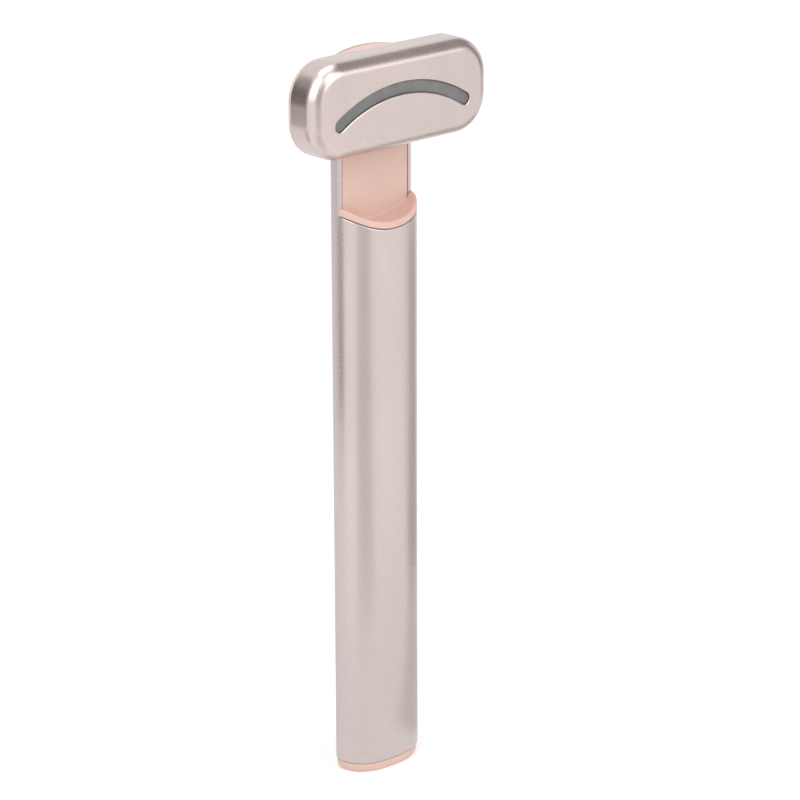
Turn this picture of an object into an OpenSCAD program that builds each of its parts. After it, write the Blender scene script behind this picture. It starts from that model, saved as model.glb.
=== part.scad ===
// Heated eye massager wand: an oval metal handle with a slim neck, and a T-shaped head that swivels
// on the neck's front and warms, glows and buzzes against the skin.
// The origin is the middle of the foot. +Z runs up the handle and the head faces -Y.

/* [Overall] */
// Height from the foot to the top of the head
total_h = 158; // [154:0.5:168]

/* [Handle] */
// Width of the oval handle, left to right
handle_w = 20.4; // [19.6:0.1:24]
// Depth of the oval handle, front to back
handle_d = 10; // [9.9:0.05:11.5]
// Distance from the handle's back to its widest line
belly_back = 2.35; // [2.2:0.05:2.6]
// Fullness of the oval, where 2 is an ellipse
oval_fullness = 2.5; // [2.3:0.1:3.2]
// Wall of the metal shell
shell_wall = 1; // [0.8:0.05:1.1]
// Height of the end cap that shows below the shell
end_cap_h = 1.9; // [1.4:0.1:3]
// How far the end cap's rounded side is drawn in at the bottom
end_cap_round = 0.65; // [0.4:0.05:0.9]
// How far the shell's lower edge is drawn in to meet the end cap
shell_tuck = 0.25; // [0.1:0.05:0.35]
// Length of the end cap's plug inside the shell
end_plug_h = 7; // [6:0.5:10]

/* [Neck] */
// Depth of the neck, from its front panel to its back
neck_d = 4.15; // [4.1:0.05:4.4]
// How far the neck's top lies below the head's top
neck_drop = 0.5; // [0.2:0.1:1.5]
// Radius of the crowned top edge of the neck
crown_r = 36; // [28:1:60]
// Radius of the neck's two top corners
neck_corner = 3; // [2:0.1:4]
// Radius of the scoop in the shell's front edge
scoop_r = 17.4; // [15:0.1:22]
// Height of the inlay's rim above the shell's scooped edge
rim_h = 1.5; // [1:0.1:2.2]
// Width of the rim
rim_w = 1.1; // [0.8:0.1:1.5]
// How far the ledge lies below the rim
ledge_drop = 0.25; // [0.1:0.05:0.6]
// Gap between the ledge and the head's end when the head is turned in line
nest_gap = 1.8; // [1.6:0.1:3]
// Length of the inlay's plug inside the shell
inlay_plug_h = 7; // [5:0.5:9]
// Chamfer along the inlay's front edges
inlay_chamfer = 0.3; // [0.1:0.05:0.4]

/* [Head] */
// Length of the head
head_w = 48; // [46:0.5:52]
// Height of the head
head_h = 20; // [19:0.5:21]
// Radius of the head's corners
head_corner = 8; // [7:0.1:8.6]
// Radius of the edge round the head's front face
head_edge = 3; // [1.6:0.1:3.4]
// Depth of the metal cover
cover_d = 7.1; // [6.8:0.1:8]
// Wall of the metal cover
cover_wall = 1; // [0.8:0.05:1.1]
// Thickness of the base plate that shows behind the cover
base_t = 1.15; // [1:0.05:1.4]
// Radius of the base plate's rear edge
base_edge = 0.9; // [0.5:0.1:0.9]
// Gap between the head's back and the neck's panel
head_gap = 0.45; // [0.3:0.05:0.8]

/* [Light window] */
// Distance from the centre of the bow's round end to the head's end
window_margin = 7; // [6.8:0.1:10]
// Rise of the bow
window_rise = 5; // [3.5:0.25:5.5]
// Width of the window's band
window_band = 2.6; // [2:0.1:3]
// Number of lamps behind the window
lamp_count = 8; // [5:1:9]
// Side of a lamp
lamp_side = 1.6; // [1.2:0.1:2]
// Height of a lamp
lamp_t = 0.6; // [0.4:0.05:0.8]

/* [Swivel] */
// Radius of the hub that the head turns on
hub_r = 3.7; // [3.5:0.05:3.8]
// Wall of the hub
hub_wall = 1; // [0.8:0.05:1.1]
// Radial clearance between the hub and its bush
run_gap = 0.05; // [0.02:0.01:0.08]
// Wall of the bush
bush_wall = 0.9; // [0.7:0.05:1]
// Radius of the hub's flange
flange_r = 6; // [5.8:0.1:6.4]
// Thickness of the hub's flange
flange_t = 0.8; // [0.6:0.05:0.9]
// Radius of a hub screw's shank
screw_r = 0.5; // [0.4:0.05:0.6]
// Radius of a hub screw's head
screw_head_r = 0.9; // [0.8:0.05:1]
// Number of hub screws
screw_count = 3; // [3:1:4]

/* [Battery and boards] */
// Width of the battery
battery_w = 12; // [10:0.5:12.5]
// Thickness of the battery
battery_t = 4; // [3.5:0.1:4.2]
// Length of the battery
battery_l = 42; // [36:1:50]
// Width of the main board
board_w = 14; // [13.4:0.1:14.6]
// Length of the main board
board_l = 30; // [28:1:34]
// Thickness of the main board
board_t = 0.8; // [0.6:0.1:1]
// Gap between the rows of parts on the board
chip_gap = 1.5; // [1:0.1:2.5]
// Distance between the two small packages
small_pitch = 7; // [4:0.5:9]
// Number of capacitors
capacitor_count = 5; // [3:1:6]
// Width of the charging socket's shell
socket_w = 8.94; // [8.5:0.02:9.2]
// Thickness of the charging socket's shell
socket_t = 3.26; // [3:0.02:3.4]
// Length of the charging socket's shell
socket_l = 7; // [6:0.1:7.4]
// Depth of the socket's mouth inside the foot
socket_inset = 0.6; // [0.4:0.1:1]

/* [Motor] */
// Radius of the motor's can
motor_r = 3; // [2.5:0.1:3]
// Length of the motor's can
motor_l = 10; // [8:0.5:11]
// Wall of the rubber sleeve round the motor
sleeve_wall = 0.45; // [0.3:0.05:0.45]
// Radius of the eccentric weight
weight_r = 2.6; // [2:0.1:2.7]
// Height of the eccentric weight
weight_h = 3.4; // [2.5:0.1:3.6]
// Radius of the motor's shaft
shaft_r = 0.5; // [0.4:0.05:0.6]

/* [Hidden] */
$fn = 64;

// Clearances
fit_gap = 0.05;    // between pieces that are pushed into each other
seam_gap = 0.1;    // at the visible joints between pieces
air_gap = 0.3;     // between pieces that must not touch
cut = 1;           // how far a cutter runs past what it cuts
far = 40;          // longer than any local feature

// Oval of the handle
oval_sides = 72;
belly_y = handle_d / 2 - belly_back;
bulge = handle_d - belly_back;
back_y = handle_d / 2;
in_back = back_y - shell_wall;
in_front = -back_y + shell_wall;

// Heights along the handle
pivot_z = total_h - head_h / 2;
rim_z = pivot_z - head_w / 2 - nest_gap;
seam_z = rim_z - rim_h;
scoop_z = seam_z + scoop_r;
neck_apex = total_h - neck_drop;
neck_y = back_y - neck_d;
inlay_z = seam_z - inlay_plug_h;
shell_z = end_cap_h + seam_gap;

// Depths of the head
base_back = neck_y - head_gap;
base_front = base_back - base_t;
head_front = base_front - cover_d;
cover_in = head_front + cover_wall;
film_t = 0.2;
film_back = cover_in + film_t;
lens_step = 0.6;
lens_back = cover_in + lens_step;
lens_lip = 0.6;
lamp_air = 0.9;
lamp_front = lens_back + lamp_air;
lamp_board_front = lamp_front + lamp_t;
lamp_board_t = 0.8;
lamp_board_back = lamp_board_front + lamp_board_t;
boss_h = 1.2;
boss_margin = 0.4;
flange_back = base_front - boss_h;
flange_front = flange_back - flange_t;
screw_head_t = 0.4;
screw_l = 2;
screw_pcd_r = (hub_r + flange_r) / 2;

// Depths of the swivel inside the neck
web_t = 1.1;
web_back = neck_y + web_t;
washer_t = 0.25;
ring_front = web_back + washer_t + fit_gap;
ring_t = 0.4;
ring_back = ring_front + ring_t;
groove_depth = 0.4;
hub_end = ring_back + air_gap;
bush_r = hub_r + run_gap + bush_wall;
pocket_r = 6;
contact_gap = 0.25;
contact_front = hub_end + contact_gap;
contact_margin = 0.4;
contact_t = 0.5;
contact_back = contact_front + contact_t;
rotor_inset = 0.2;
rotor_l = 1.55;
rotor_back = hub_end - rotor_inset;
rotor_front = rotor_back - rotor_l;
ring_w = 1.2;
ring_opening = 40;
washer_margin = 0.5;
pin_r = 0.4;
pin_ring_r = 1.6;

// Depths inside the handle: the socket is centred in the foot, on the board's front face
socket_y = 0;
board_front = socket_y + socket_t / 2;
floor_back = board_front + board_t;
floor_t = 0.8;
floor_front = floor_back - floor_t;
battery_back = floor_front - fit_gap;
battery_front = battery_back - battery_t;
flex_t = 0.18;
flex_w = 3;
flex_back = in_back - seam_gap;
flex_front = flex_back - flex_t;

// Heights inside the handle
board_z = 3;
board_top = board_z + board_l;
chassis_z = board_top + air_gap;
chassis_top = inlay_z - fit_gap;
wall_t = 1.5;
battery_z = chassis_z + wall_t + air_gap;
battery_top = battery_z + battery_l;
weight_air = 1;
weight_top = inlay_z - weight_air;
weight_z = weight_top - weight_h;
motor_air = 0.5;
motor_top = weight_z - motor_air;
shaft_hole = 2;
shaft_in = 1.8;
weight_hub_wall = 0.7;
motor_z = motor_top - motor_l;
sleeve_r = motor_r + fit_gap + sleeve_wall;
motor_y = in_front + seam_gap + sleeve_r;
cradle_r = sleeve_r + fit_gap;
cheek_t = 0.9;
rail_t = 0.8;
rail_gap = 0.6;
rail_h = 2;
rail_x = handle_w / 2 - shell_wall - rail_gap - rail_t;
rib_w = 0.8;
rib_x = 4.6;
lead_r = 0.35;
lead_lap = 3;
battery_lead_x = 2;
lead_y = board_front - lead_r - fit_gap;
motor_lead_x = battery_w / 2 + lead_r + seam_gap;
motor_lead_in = 1;
pad_w = 8;
pad_margin = 3;
leaf_t = 0.2;
leaf_w = 2;
leaf_x = 4.5;
leaf_rise = 3;
leaf_foot = 10;
flex_jog = 4;
flex_foot = 6;
flex_lap = 2;

// Packages on the main board
small_chip = 3;
large_chip = 4;
chip_t = 0.8;
coil_t = 1.6;
capacitor_w = 0.8;
capacitor_h = 1.6;
capacitor_pitch = 2;

// Charging socket and its seal
socket_skin = 0.3;
socket_floor = 1;
tongue_w = 6.7;
tongue_t = 0.7;
tongue_l = 4.6;
seal_rise = 2.6;
seal_h = 1;
seal_t = 0.6;

// Inside the head
spigot_h = 2.2;
spigot_t = 1;
spigot_root = 0.5;
gasket_inset = 0.6;
gasket_w = 0.6;
gasket_t = 0.5;
lamp_board_w = 41;
lamp_board_h = 13;
lamp_board_corner = 3;
post_x = 18;
post_z = 5;
post_r = 1.1;
peg_r = 0.5;
peg_over = 0.2;
lens_inset = 0.1;
film_inset = 0.2;
film_window_gap = 0.2;
heater_lead_x = 12;
heater_lead_rise = 1.2;
sensor_w = 2;
sensor_h = 1.2;
sensor_t = 0.5;
sensor_rise = 1.8;

// Window's bow on the head's plan: its radius, its centre and its half angle
window_chord = head_w - 2 * window_margin;
bow_r = (pow(window_chord / 2, 2) + pow(window_rise, 2)) / (2 * window_rise);
bow_y = window_rise / 2 - bow_r;
bow_angle = asin(window_chord / 2 / bow_r);
lamp_spread = 0.92 * bow_angle;

// Colours
champagne = [0.80, 0.75, 0.73];
peach = [0.89, 0.74, 0.68];
smoke = [0.45, 0.45, 0.46];
steel = [0.75, 0.76, 0.78];
board_green = [0.12, 0.38, 0.25];
black_plastic = [0.16, 0.16, 0.17];
white_plastic = [0.92, 0.92, 0.90];
copper = [0.80, 0.50, 0.30];
amber = [0.85, 0.55, 0.20];
rubber_grey = [0.30, 0.30, 0.31];
foil = [0.70, 0.72, 0.76];
brass = [0.82, 0.68, 0.36];

// ---------------------------------------------------------------- outlines and helpers

function oval_power(v) = sign(v) * pow(abs(v), 2 / oval_fullness);

// Y of the oval at a given x, on its front (side -1) or its back (side 1)
function oval_y(x, inset, side) = belly_y + side * ((side < 0 ? bulge : belly_back) - inset)
    * pow(1 - pow(abs(x) / (handle_w / 2 - inset), oval_fullness), 1 / oval_fullness);

// Outline of the handle, drawn in by inset
module oval(inset = 0) {
    polygon([for (i = [0 : oval_sides - 1])
        let (t = 360 * i / oval_sides, reach = (t > 180 ? bulge : belly_back) - inset)
        [(handle_w / 2 - inset) * oval_power(cos(t)), belly_y + reach * oval_power(sin(t))]]);
}

// A shape on the head's plan, standing from y0 to y1 and centred on the swivel
module slab(y0, y1) {
    translate([0, y1, pivot_z]) rotate([90, 0, 0]) linear_extrude(y1 - y0) children();
}

module rounded_rect(w, h, r) {
    square([w - 2 * r, h], center = true);
    square([w, h - 2 * r], center = true);
    for (x = [-1, 1], y = [-1, 1]) translate([x * (w / 2 - r), y * (h / 2 - r)]) circle(r);
}

// The head's outline, drawn in by inset
module head_outline(inset = 0) {
    rounded_rect(head_w - 2 * inset, head_h - 2 * inset, head_corner - inset);
}

// Half of a plate's section: a flat plate whose outer top edge is round
module edge_section(reach, depth, edge) {
    square([reach, depth - edge]);
    square([reach - edge, depth]);
    intersection() {
        translate([reach - edge, depth - edge]) circle(edge);
        square([reach, depth]);
    }
}

// A rounded plate whose upper edge is round all the way
module pillow(w, h, depth, corner, edge) {
    for (x = [-1, 1], y = [-1, 1]) translate([x * (w / 2 - corner), y * (h / 2 - corner), 0])
        rotate_extrude() edge_section(corner, depth, edge);
    rotate([90, 0, 90]) translate([0, 0, corner - w / 2]) linear_extrude(w - 2 * corner)
        for (side = [0, 1]) mirror([side, 0]) edge_section(h / 2, depth, edge);
    rotate([90, 0, 0]) translate([0, 0, corner - h / 2]) linear_extrude(h - 2 * corner)
        for (side = [0, 1]) mirror([side, 0]) edge_section(w / 2, depth, edge);
}

// A thin strip along a path of [y, z] points, width w along X
module strip(path, t, w, x = 0) {
    last = len(path) - 1;
    edge = concat([for (p = path) [p[0] - t / 2, p[1]]],
        [for (i = [0 : last]) [path[last - i][0] + t / 2, path[last - i][1]]]);
    translate([x - w / 2, 0, 0]) rotate([90, 0, 90]) linear_extrude(w) polygon(edge);
}

// The neck's crowned top as a profile on XZ, standing over the whole depth
module under_crown() {
    crown_z = neck_apex - crown_r;
    corner_x = handle_w / 2 - neck_corner;
    corner_z = sqrt(pow(crown_r - neck_corner, 2) - pow(corner_x, 2));
    wedge = 1.2;
    translate([0, far, crown_z]) rotate([90, 0, 0]) linear_extrude(2 * far) {
        translate([-handle_w, -crown_z - far]) square([2 * handle_w, crown_z + far]);
        translate([-handle_w / 2 - cut, -cut]) square([handle_w + 2 * cut, corner_z + cut]);
        for (side = [-1, 1]) translate([side * corner_x, corner_z]) circle(neck_corner);
        intersection() {
            circle(crown_r, $fn = 180);
            polygon([[0, 0], [wedge * corner_x, wedge * corner_z], [-wedge * corner_x, wedge * corner_z]]);
        }
    }
}

// Everything in front of the neck and above a scoop that lies raise above the shell's edge
module front_scoop(raise, y = neck_y) {
    translate([0, y, scoop_z]) rotate([90, 0, 0]) cylinder(r = scoop_r - raise, h = far, $fn = 180);
    translate([-handle_w, y - far, scoop_z]) cube([2 * handle_w, far, total_h]);
}

// ---------------------------------------------------------------- handle

module handle_shell() {
    steps = 5;
    tuck_h = 1;
    color(champagne) intersection() {
        difference() {
            for (i = [0 : steps]) translate([0, 0, shell_z + tuck_h * i / steps])
                linear_extrude(total_h) oval(shell_tuck * pow(1 - i / steps, 2));
            linear_extrude(2 * total_h) oval(shell_wall);
            front_scoop(0);
        }
        under_crown();
    }
}

// The front panel, the rim and ledge at its foot and the plug below it, in one moulding
module neck_inlay() {
    inset = shell_wall + fit_gap;
    core = 1.3;
    color(peach) intersection() {
        difference() {
            union() {
                inlay_panel(inset);
                inlay_collar(inset);
            }
            inlay_chamfers();
            // room in the plug for the top of the chassis, and a groove for the cable
            translate([0, 0, inlay_z - cut]) linear_extrude(inlay_plug_h - core + cut) oval(inset + core);
            translate([-flex_w / 2 - air_gap, flex_front - seam_gap, inlay_z - cut])
                cube([flex_w + 2 * air_gap, far, pivot_z - inlay_z + cut]);
            // bore for the bush, and the pocket behind it
            slab(neck_y - cut, web_back + cut) circle(bush_r + fit_gap);
            slab(web_back, back_y) circle(pocket_r);
        }
        under_crown();
    }
}

// The panel and the rear half of the plug
module inlay_panel(inset) {
    intersection() {
        translate([0, 0, inlay_z]) linear_extrude(total_h) oval(inset);
        translate([-handle_w, neck_y, 0]) cube([2 * handle_w, far, 2 * total_h]);
    }
}

// The rim and the ledge, flush with the metal outside, and the front half of the plug
module inlay_collar(inset) {
    difference() {
        union() {
            translate([0, 0, inlay_z]) linear_extrude(scoop_z - inlay_z) oval(inset);
            difference() {
                translate([0, 0, inlay_z]) linear_extrude(scoop_z - inlay_z) oval();
                translate([-handle_w, neck_y, 0]) cube([2 * handle_w, far, total_h]);
                under_seam();
            }
        }
        front_scoop(rim_h, neck_y + cut);
        intersection() {
            front_scoop(rim_h - ledge_drop, neck_y + cut);
            linear_extrude(total_h) oval(rim_w);
        }
    }
}

// What lies below the shell's scooped edge and the visible seam on it
module under_seam() {
    difference() {
        translate([-handle_w, -far, 0]) cube([2 * handle_w, 2 * far, scoop_z]);
        front_scoop(seam_gap, neck_y + cut);
    }
}

// Small chamfers where the panel meets the metal
module inlay_chamfers() {
    edge_x = oval_x(neck_y, shell_wall + fit_gap);
    for (side = [-1, 1]) translate([side * edge_x, neck_y, rim_z])
        linear_extrude(total_h) rotate(45) square(inlay_chamfer * sqrt(2), center = true);
}

// Half width of the oval at a given y
function oval_x(y, inset) = (handle_w / 2 - inset)
    * pow(1 - pow(abs(y - belly_y) / ((y < belly_y ? bulge : belly_back) - inset), oval_fullness),
        1 / oval_fullness);

// Foot of the handle: a side rounded over its whole height in thin steps, and a plug that
// carries the socket
module end_cap() {
    steps = 8;
    plug_top = end_cap_h + end_plug_h;
    color(peach) difference() {
        union() {
            for (i = [0 : steps - 1]) {
                low = end_cap_h * i / steps;
                inset = shell_tuck + end_cap_round * (1 - sqrt(1 - pow(1 - i / steps, 2)));
                translate([0, 0, low]) linear_extrude(end_cap_h - low) oval(inset);
            }
            translate([0, 0, end_cap_h / 2]) linear_extrude(plug_top - end_cap_h / 2)
                oval(shell_wall + fit_gap);
        }
        translate([0, socket_y, -cut]) linear_extrude(plug_top + 2 * cut) socket_outline(fit_gap);
        translate([-board_w / 2 - fit_gap, board_front - fit_gap, board_z - fit_gap])
            cube([board_w + 2 * fit_gap, board_t + 2 * fit_gap, plug_top]);
        end_seal_ring(fit_gap);
    }
}

// Outline of the charging socket, larger by grow
module socket_outline(grow) {
    r = socket_t / 2 + grow;
    span = socket_w / 2 - socket_t / 2;
    square([2 * span, 2 * r], center = true);
    for (side = [-1, 1]) translate([side * span, 0]) circle(r);
}

module end_seal_ring(grow) {
    seal_z = end_cap_h + seal_rise;
    translate([0, 0, seal_z - grow]) linear_extrude(seal_h + 2 * grow) difference() {
        oval(shell_wall + fit_gap / 2 - grow);
        oval(shell_wall + fit_gap / 2 + seal_t + grow);
    }
}

module end_seal() {
    color(rubber_grey) end_seal_ring(0);
}

module charge_socket() {
    color(steel) translate([0, socket_y, socket_inset]) difference() {
        linear_extrude(socket_l) socket_outline(0);
        translate([0, 0, -cut]) linear_extrude(socket_l - socket_floor + cut) socket_outline(-socket_skin);
    }
}

module socket_tongue() {
    tongue_z = socket_inset + socket_l - socket_floor - fit_gap - tongue_l;
    color(black_plastic) translate([-tongue_w / 2, socket_y - tongue_t / 2, tongue_z])
        cube([tongue_w, tongue_t, tongue_l]);
}

module main_board() {
    color(board_green) translate([-board_w / 2, board_front, board_z]) cube([board_w, board_t, board_l]);
}

// A flat package on the board's front face, centred at x, with its foot at height z
module chip(x, z, w, h, t) {
    translate([x - w / 2, board_front - t, z]) cube([w, t, h]);
}

// Rows of packages above the end cap's plug: a charger and a coil, the processor, the capacitors
module board_parts() {
    small_z = end_cap_h + end_plug_h + chip_gap;
    large_z = small_z + small_chip + chip_gap;
    capacitor_z = large_z + large_chip + chip_gap;
    color(black_plastic) {
        chip(-small_pitch / 2, small_z, small_chip, small_chip, chip_t);
        chip(small_pitch / 2, small_z, small_chip, small_chip, coil_t);
        chip(0, large_z, large_chip, large_chip, chip_t);
        for (i = [0 : capacitor_count - 1]) chip((i - (capacitor_count - 1) / 2) * capacitor_pitch,
            capacitor_z, capacitor_w, capacitor_h, chip_t);
    }
}

// Tray that slides into the shell: a floor with rails, walls for the battery and a cradle for the motor
module chassis() {
    color(black_plastic) difference() {
        union() {
            translate([-rail_x - rail_t, floor_front, chassis_z])
                cube([2 * (rail_x + rail_t), floor_t, chassis_top - chassis_z]);
            for (side = [-1, 1]) {
                translate([side * (rail_x + rail_t / 2) - rail_t / 2, floor_front - rail_h, chassis_z])
                    cube([rail_t, rail_h + floor_t / 2, battery_top + wall_t - chassis_z]);
                // rear ribs that seat on the shell's back wall
                translate([side * rib_x - rib_w / 2, floor_back - fit_gap, chassis_z])
                    cube([rib_w, oval_y(rib_x + rib_w / 2, shell_wall, 1) - floor_back,
                        chassis_top - chassis_z]);
            }
            for (z = [chassis_z, battery_top + air_gap])
                translate([-battery_w / 2, battery_front + fit_gap, z])
                    cube([battery_w, battery_t, wall_t]);
            translate([-cradle_r - cheek_t, motor_y, motor_z])
                cube([2 * (cradle_r + cheek_t), floor_front - motor_y + cut / 2, motor_l]);
        }
        translate([0, motor_y, motor_z - cut]) cylinder(r = cradle_r, h = weight_top - motor_z + 2 * cut);
        // holes that let the battery's leads through the lower wall
        for (side = [-1, 1]) translate([side * battery_lead_x, lead_y, chassis_z - cut])
            cylinder(r = lead_r + air_gap, h = wall_t + 2 * cut);
    }
}

module battery() {
    color(foil) translate([-battery_w / 2, battery_front, battery_z])
        cube([battery_w, battery_t, battery_l]);
}

module battery_pad() {
    pad_front = oval_y(pad_w / 2, shell_wall, -1) + seam_gap;
    color(rubber_grey) translate([-pad_w / 2, pad_front, battery_z + pad_margin])
        cube([pad_w, battery_front - pad_front, battery_l - 2 * pad_margin]);
}

module battery_leads() {
    color("firebrick") for (side = [-1, 1])
        translate([side * battery_lead_x, lead_y, board_top - lead_lap])
        cylinder(r = lead_r, h = battery_z - fit_gap - board_top + lead_lap);
}

// Leaf that joins the board to the metal shell
module shell_spring() {
    leaf_z = board_z + leaf_foot;
    low = floor_back + leaf_t / 2 + fit_gap / 2;
    high = oval_y(leaf_x + leaf_w / 2, shell_wall, 1) - leaf_t / 2 - fit_gap;
    // a foot, a slope up, a flat top, a slope down and a foot, by height over the first foot
    rises = [[low, 0], [low, 0.5], [high, 1.5], [high, 2], [low, 3], [low, 3.5]];
    color(brass) strip([for (r = rises) [r[0], leaf_z + r[1] * leaf_rise]], leaf_t, leaf_w, leaf_x);
}

// ---------------------------------------------------------------- motor

module motor_sleeve() {
    color(rubber_grey) translate([0, motor_y, motor_z]) difference() {
        cylinder(r = sleeve_r, h = motor_l);
        translate([0, 0, -cut]) cylinder(r = motor_r + fit_gap, h = motor_l + 2 * cut);
    }
}

module motor_can() {
    color(steel) translate([0, motor_y, motor_z]) difference() {
        cylinder(r = motor_r, h = motor_l);
        translate([0, 0, motor_l - shaft_hole]) cylinder(r = shaft_r + run_gap, h = shaft_hole + cut);
    }
}

module motor_shaft() {
    color(steel) translate([0, motor_y, motor_top - shaft_in])
        cylinder(r = shaft_r, h = weight_top - motor_top + shaft_in);
}

module motor_weight() {
    hub = shaft_r + weight_hub_wall;
    color(brass) translate([0, motor_y, weight_z]) difference() {
        union() {
            cylinder(r = hub, h = weight_h);
            intersection() {
                cylinder(r = weight_r, h = weight_h);
                translate([-weight_r, 0, 0]) cube([2 * weight_r, weight_r, weight_h]);
            }
        }
        translate([0, 0, -cut]) cylinder(r = shaft_r + fit_gap / 2, h = weight_h + 2 * cut);
    }
}

// Two leads from under the motor, past the battery and down to the main board
module motor_leads() {
    turn_z = motor_z - lead_r - fit_gap;
    color("royalblue") for (side = [-1, 1]) {
        translate([side * motor_lead_x, lead_y, board_top - lead_lap])
            cylinder(r = lead_r, h = turn_z - board_top + lead_lap);
        translate([side * motor_lead_x, lead_y, turn_z]) sphere(lead_r);
        translate([side * motor_lead_x, lead_y, turn_z]) rotate([0, -90 * side, 0])
            cylinder(r = lead_r, h = motor_lead_x - motor_lead_in);
    }
}

// ---------------------------------------------------------------- cable and contacts in the neck

module flex_cable() {
    run_y = (flex_front + flex_back) / 2;
    board_y = floor_back + flex_t / 2 + fit_gap / 2;
    low_z = board_top - flex_jog;
    color(amber) strip([[board_y, low_z - flex_foot], [board_y, low_z], [run_y, board_top],
        [run_y, pivot_z - flex_lap]], flex_t, flex_w);
}

module contact_board() {
    color(board_green) slab(contact_front, contact_back) circle(pocket_r - contact_margin);
}

module pivot_bush() {
    color(white_plastic) slab(neck_y, web_back - fit_gap) difference() {
        circle(bush_r);
        circle(hub_r + run_gap);
    }
}

module friction_washer() {
    color(steel) slab(web_back, web_back + washer_t) difference() {
        circle(pocket_r - washer_margin);
        circle(hub_r + run_gap);
    }
}

// ---------------------------------------------------------------- head

module head_base() {
    inset = cover_wall + fit_gap;
    color(peach) difference() {
        union() {
            translate([0, base_front, pivot_z]) rotate([-90, 0, 0])
                pillow(head_w, head_h, base_t, head_corner, base_edge);
            slab(base_front - spigot_h, base_front + spigot_root) difference() {
                head_outline(inset);
                head_outline(inset + spigot_t);
            }
            slab(flange_back, base_front + spigot_root) circle(flange_r + boss_margin);
            slab(lamp_board_back, base_front + spigot_root) post_places() circle(post_r);
            slab(lamp_board_front - peg_over, base_front) post_places() circle(peg_r);
        }
        slab(flange_back - cut, base_back + cut) circle(hub_r + fit_gap);
        slab(flange_back - cut, flange_front + screw_l + fit_gap) screw_places() circle(screw_r + fit_gap);
        head_seal_ring(fit_gap);
    }
}

// Places its children on the lamp board's four posts
module post_places() {
    for (x = [-1, 1], z = [-1, 1]) translate([x * post_x, z * post_z]) children();
}

// Places its children on the hub's screw circle
module screw_places() {
    for (i = [0 : screw_count - 1])
        rotate(90 + 360 * i / screw_count) translate([screw_pcd_r, 0]) children();
}

module head_seal_ring(grow) {
    gasket_back = base_front - gasket_inset;
    slab(gasket_back - gasket_w - grow, gasket_back + grow) difference() {
        head_outline(cover_wall + fit_gap / 2 - grow);
        head_outline(cover_wall + fit_gap / 2 + gasket_t + grow);
    }
}

module head_seal() {
    color(rubber_grey) head_seal_ring(0);
}

module pivot_hub() {
    color(steel) difference() {
        union() {
            slab(flange_back, hub_end) circle(hub_r);
            slab(flange_front, flange_back) circle(flange_r);
        }
        slab(flange_front - cut, hub_end + cut) circle(hub_r - hub_wall);
        slab(ring_front - fit_gap, ring_back + fit_gap) difference() {
            circle(hub_r + cut);
            circle(hub_r - groove_depth);
        }
        slab(flange_front - cut, flange_back + cut) screw_places() circle(screw_r + fit_gap);
    }
}

module hub_screws() {
    color(steel) {
        slab(flange_front - screw_head_t, flange_front) screw_places() circle(screw_head_r);
        slab(flange_front - fit_gap, flange_front + screw_l) screw_places() circle(screw_r);
    }
}

module retaining_ring() {
    color(steel) slab(ring_front, ring_back) difference() {
        circle(hub_r + ring_w);
        circle(hub_r - groove_depth + fit_gap / 2);
        polygon([[0, 0], [far * sin(ring_opening / 2), -far], [-far * sin(ring_opening / 2), -far]]);
    }
}

module contact_rotor() {
    color(black_plastic) slab(rotor_front, rotor_back) circle(hub_r - hub_wall - fit_gap);
}

// Places its children on the contact circle
module pin_places() {
    for (i = [0 : 2]) rotate(90 + 360 * i / 3) translate([pin_ring_r, 0]) children();
}

module contact_pins() {
    color(brass) slab(rotor_back, contact_front - fit_gap) pin_places() circle(pin_r);
}

module head_leads() {
    color("firebrick") slab(lamp_board_back + fit_gap, rotor_front - fit_gap) pin_places() circle(lead_r);
}

// The bow as a band with round ends, wider by grow on each side
module bow(grow = 0) {
    half = window_band / 2 + grow;
    wedge = 1.5 * bow_r;
    translate([0, bow_y]) {
        intersection() {
            difference() {
                circle(bow_r + half, $fn = 180);
                circle(bow_r - half, $fn = 180);
            }
            polygon([[0, 0], [wedge * sin(bow_angle), wedge * cos(bow_angle)],
                [-wedge * sin(bow_angle), wedge * cos(bow_angle)]]);
        }
        for (side = [-1, 1]) rotate(side * bow_angle) translate([0, bow_r]) circle(half);
    }
}

module head_cover() {
    color(champagne) difference() {
        translate([0, base_front, pivot_z]) rotate([90, 0, 0])
            pillow(head_w, head_h, cover_d, head_corner, head_edge);
        translate([0, base_front + cut, pivot_z]) rotate([90, 0, 0])
            pillow(head_w - 2 * cover_wall, head_h - 2 * cover_wall, cover_d - cover_wall + cut,
                head_corner - cover_wall, head_edge - cover_wall);
        slab(head_front - cut, cover_in + cut) bow();
    }
}

// Smoky lens: it fills the window, with a lip behind the cover's wall
module light_lens() {
    color(smoke) {
        slab(head_front + lens_inset, cover_in + lens_step / 2) bow(-fit_gap);
        slab(cover_in, lens_back) bow(lens_lip);
    }
}

module lamp_board() {
    color(white_plastic) slab(lamp_board_front, lamp_board_back) difference() {
        rounded_rect(lamp_board_w, lamp_board_h, lamp_board_corner);
        post_places() circle(peg_r + fit_gap);
    }
}

module lamps() {
    color(amber) slab(lamp_front, lamp_board_front) translate([0, bow_y])
        for (i = [0 : lamp_count - 1]) rotate(lamp_spread * (2 * i / (lamp_count - 1) - 1))
            translate([0, bow_r]) square(lamp_side, center = true);
}

// Printed heater that covers the flat of the cover's inner face, open round the lens
module heater_film() {
    color(copper) slab(cover_in, film_back) difference() {
        head_outline(head_edge + film_inset);
        bow(lens_lip + film_window_gap);
    }
}

module heater_leads() {
    lead_z = -head_h / 2 + head_edge + heater_lead_rise;
    color("firebrick") slab(film_back, lamp_board_front) for (side = [-1, 1])
        translate([side * heater_lead_x, lead_z]) circle(lead_r);
}

module heat_sensor() {
    sensor_z = -head_h / 2 + head_edge + sensor_rise;
    color(black_plastic) slab(film_back, film_back + sensor_t) translate([0, sensor_z])
        square([sensor_w, sensor_h], center = true);
}

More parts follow.
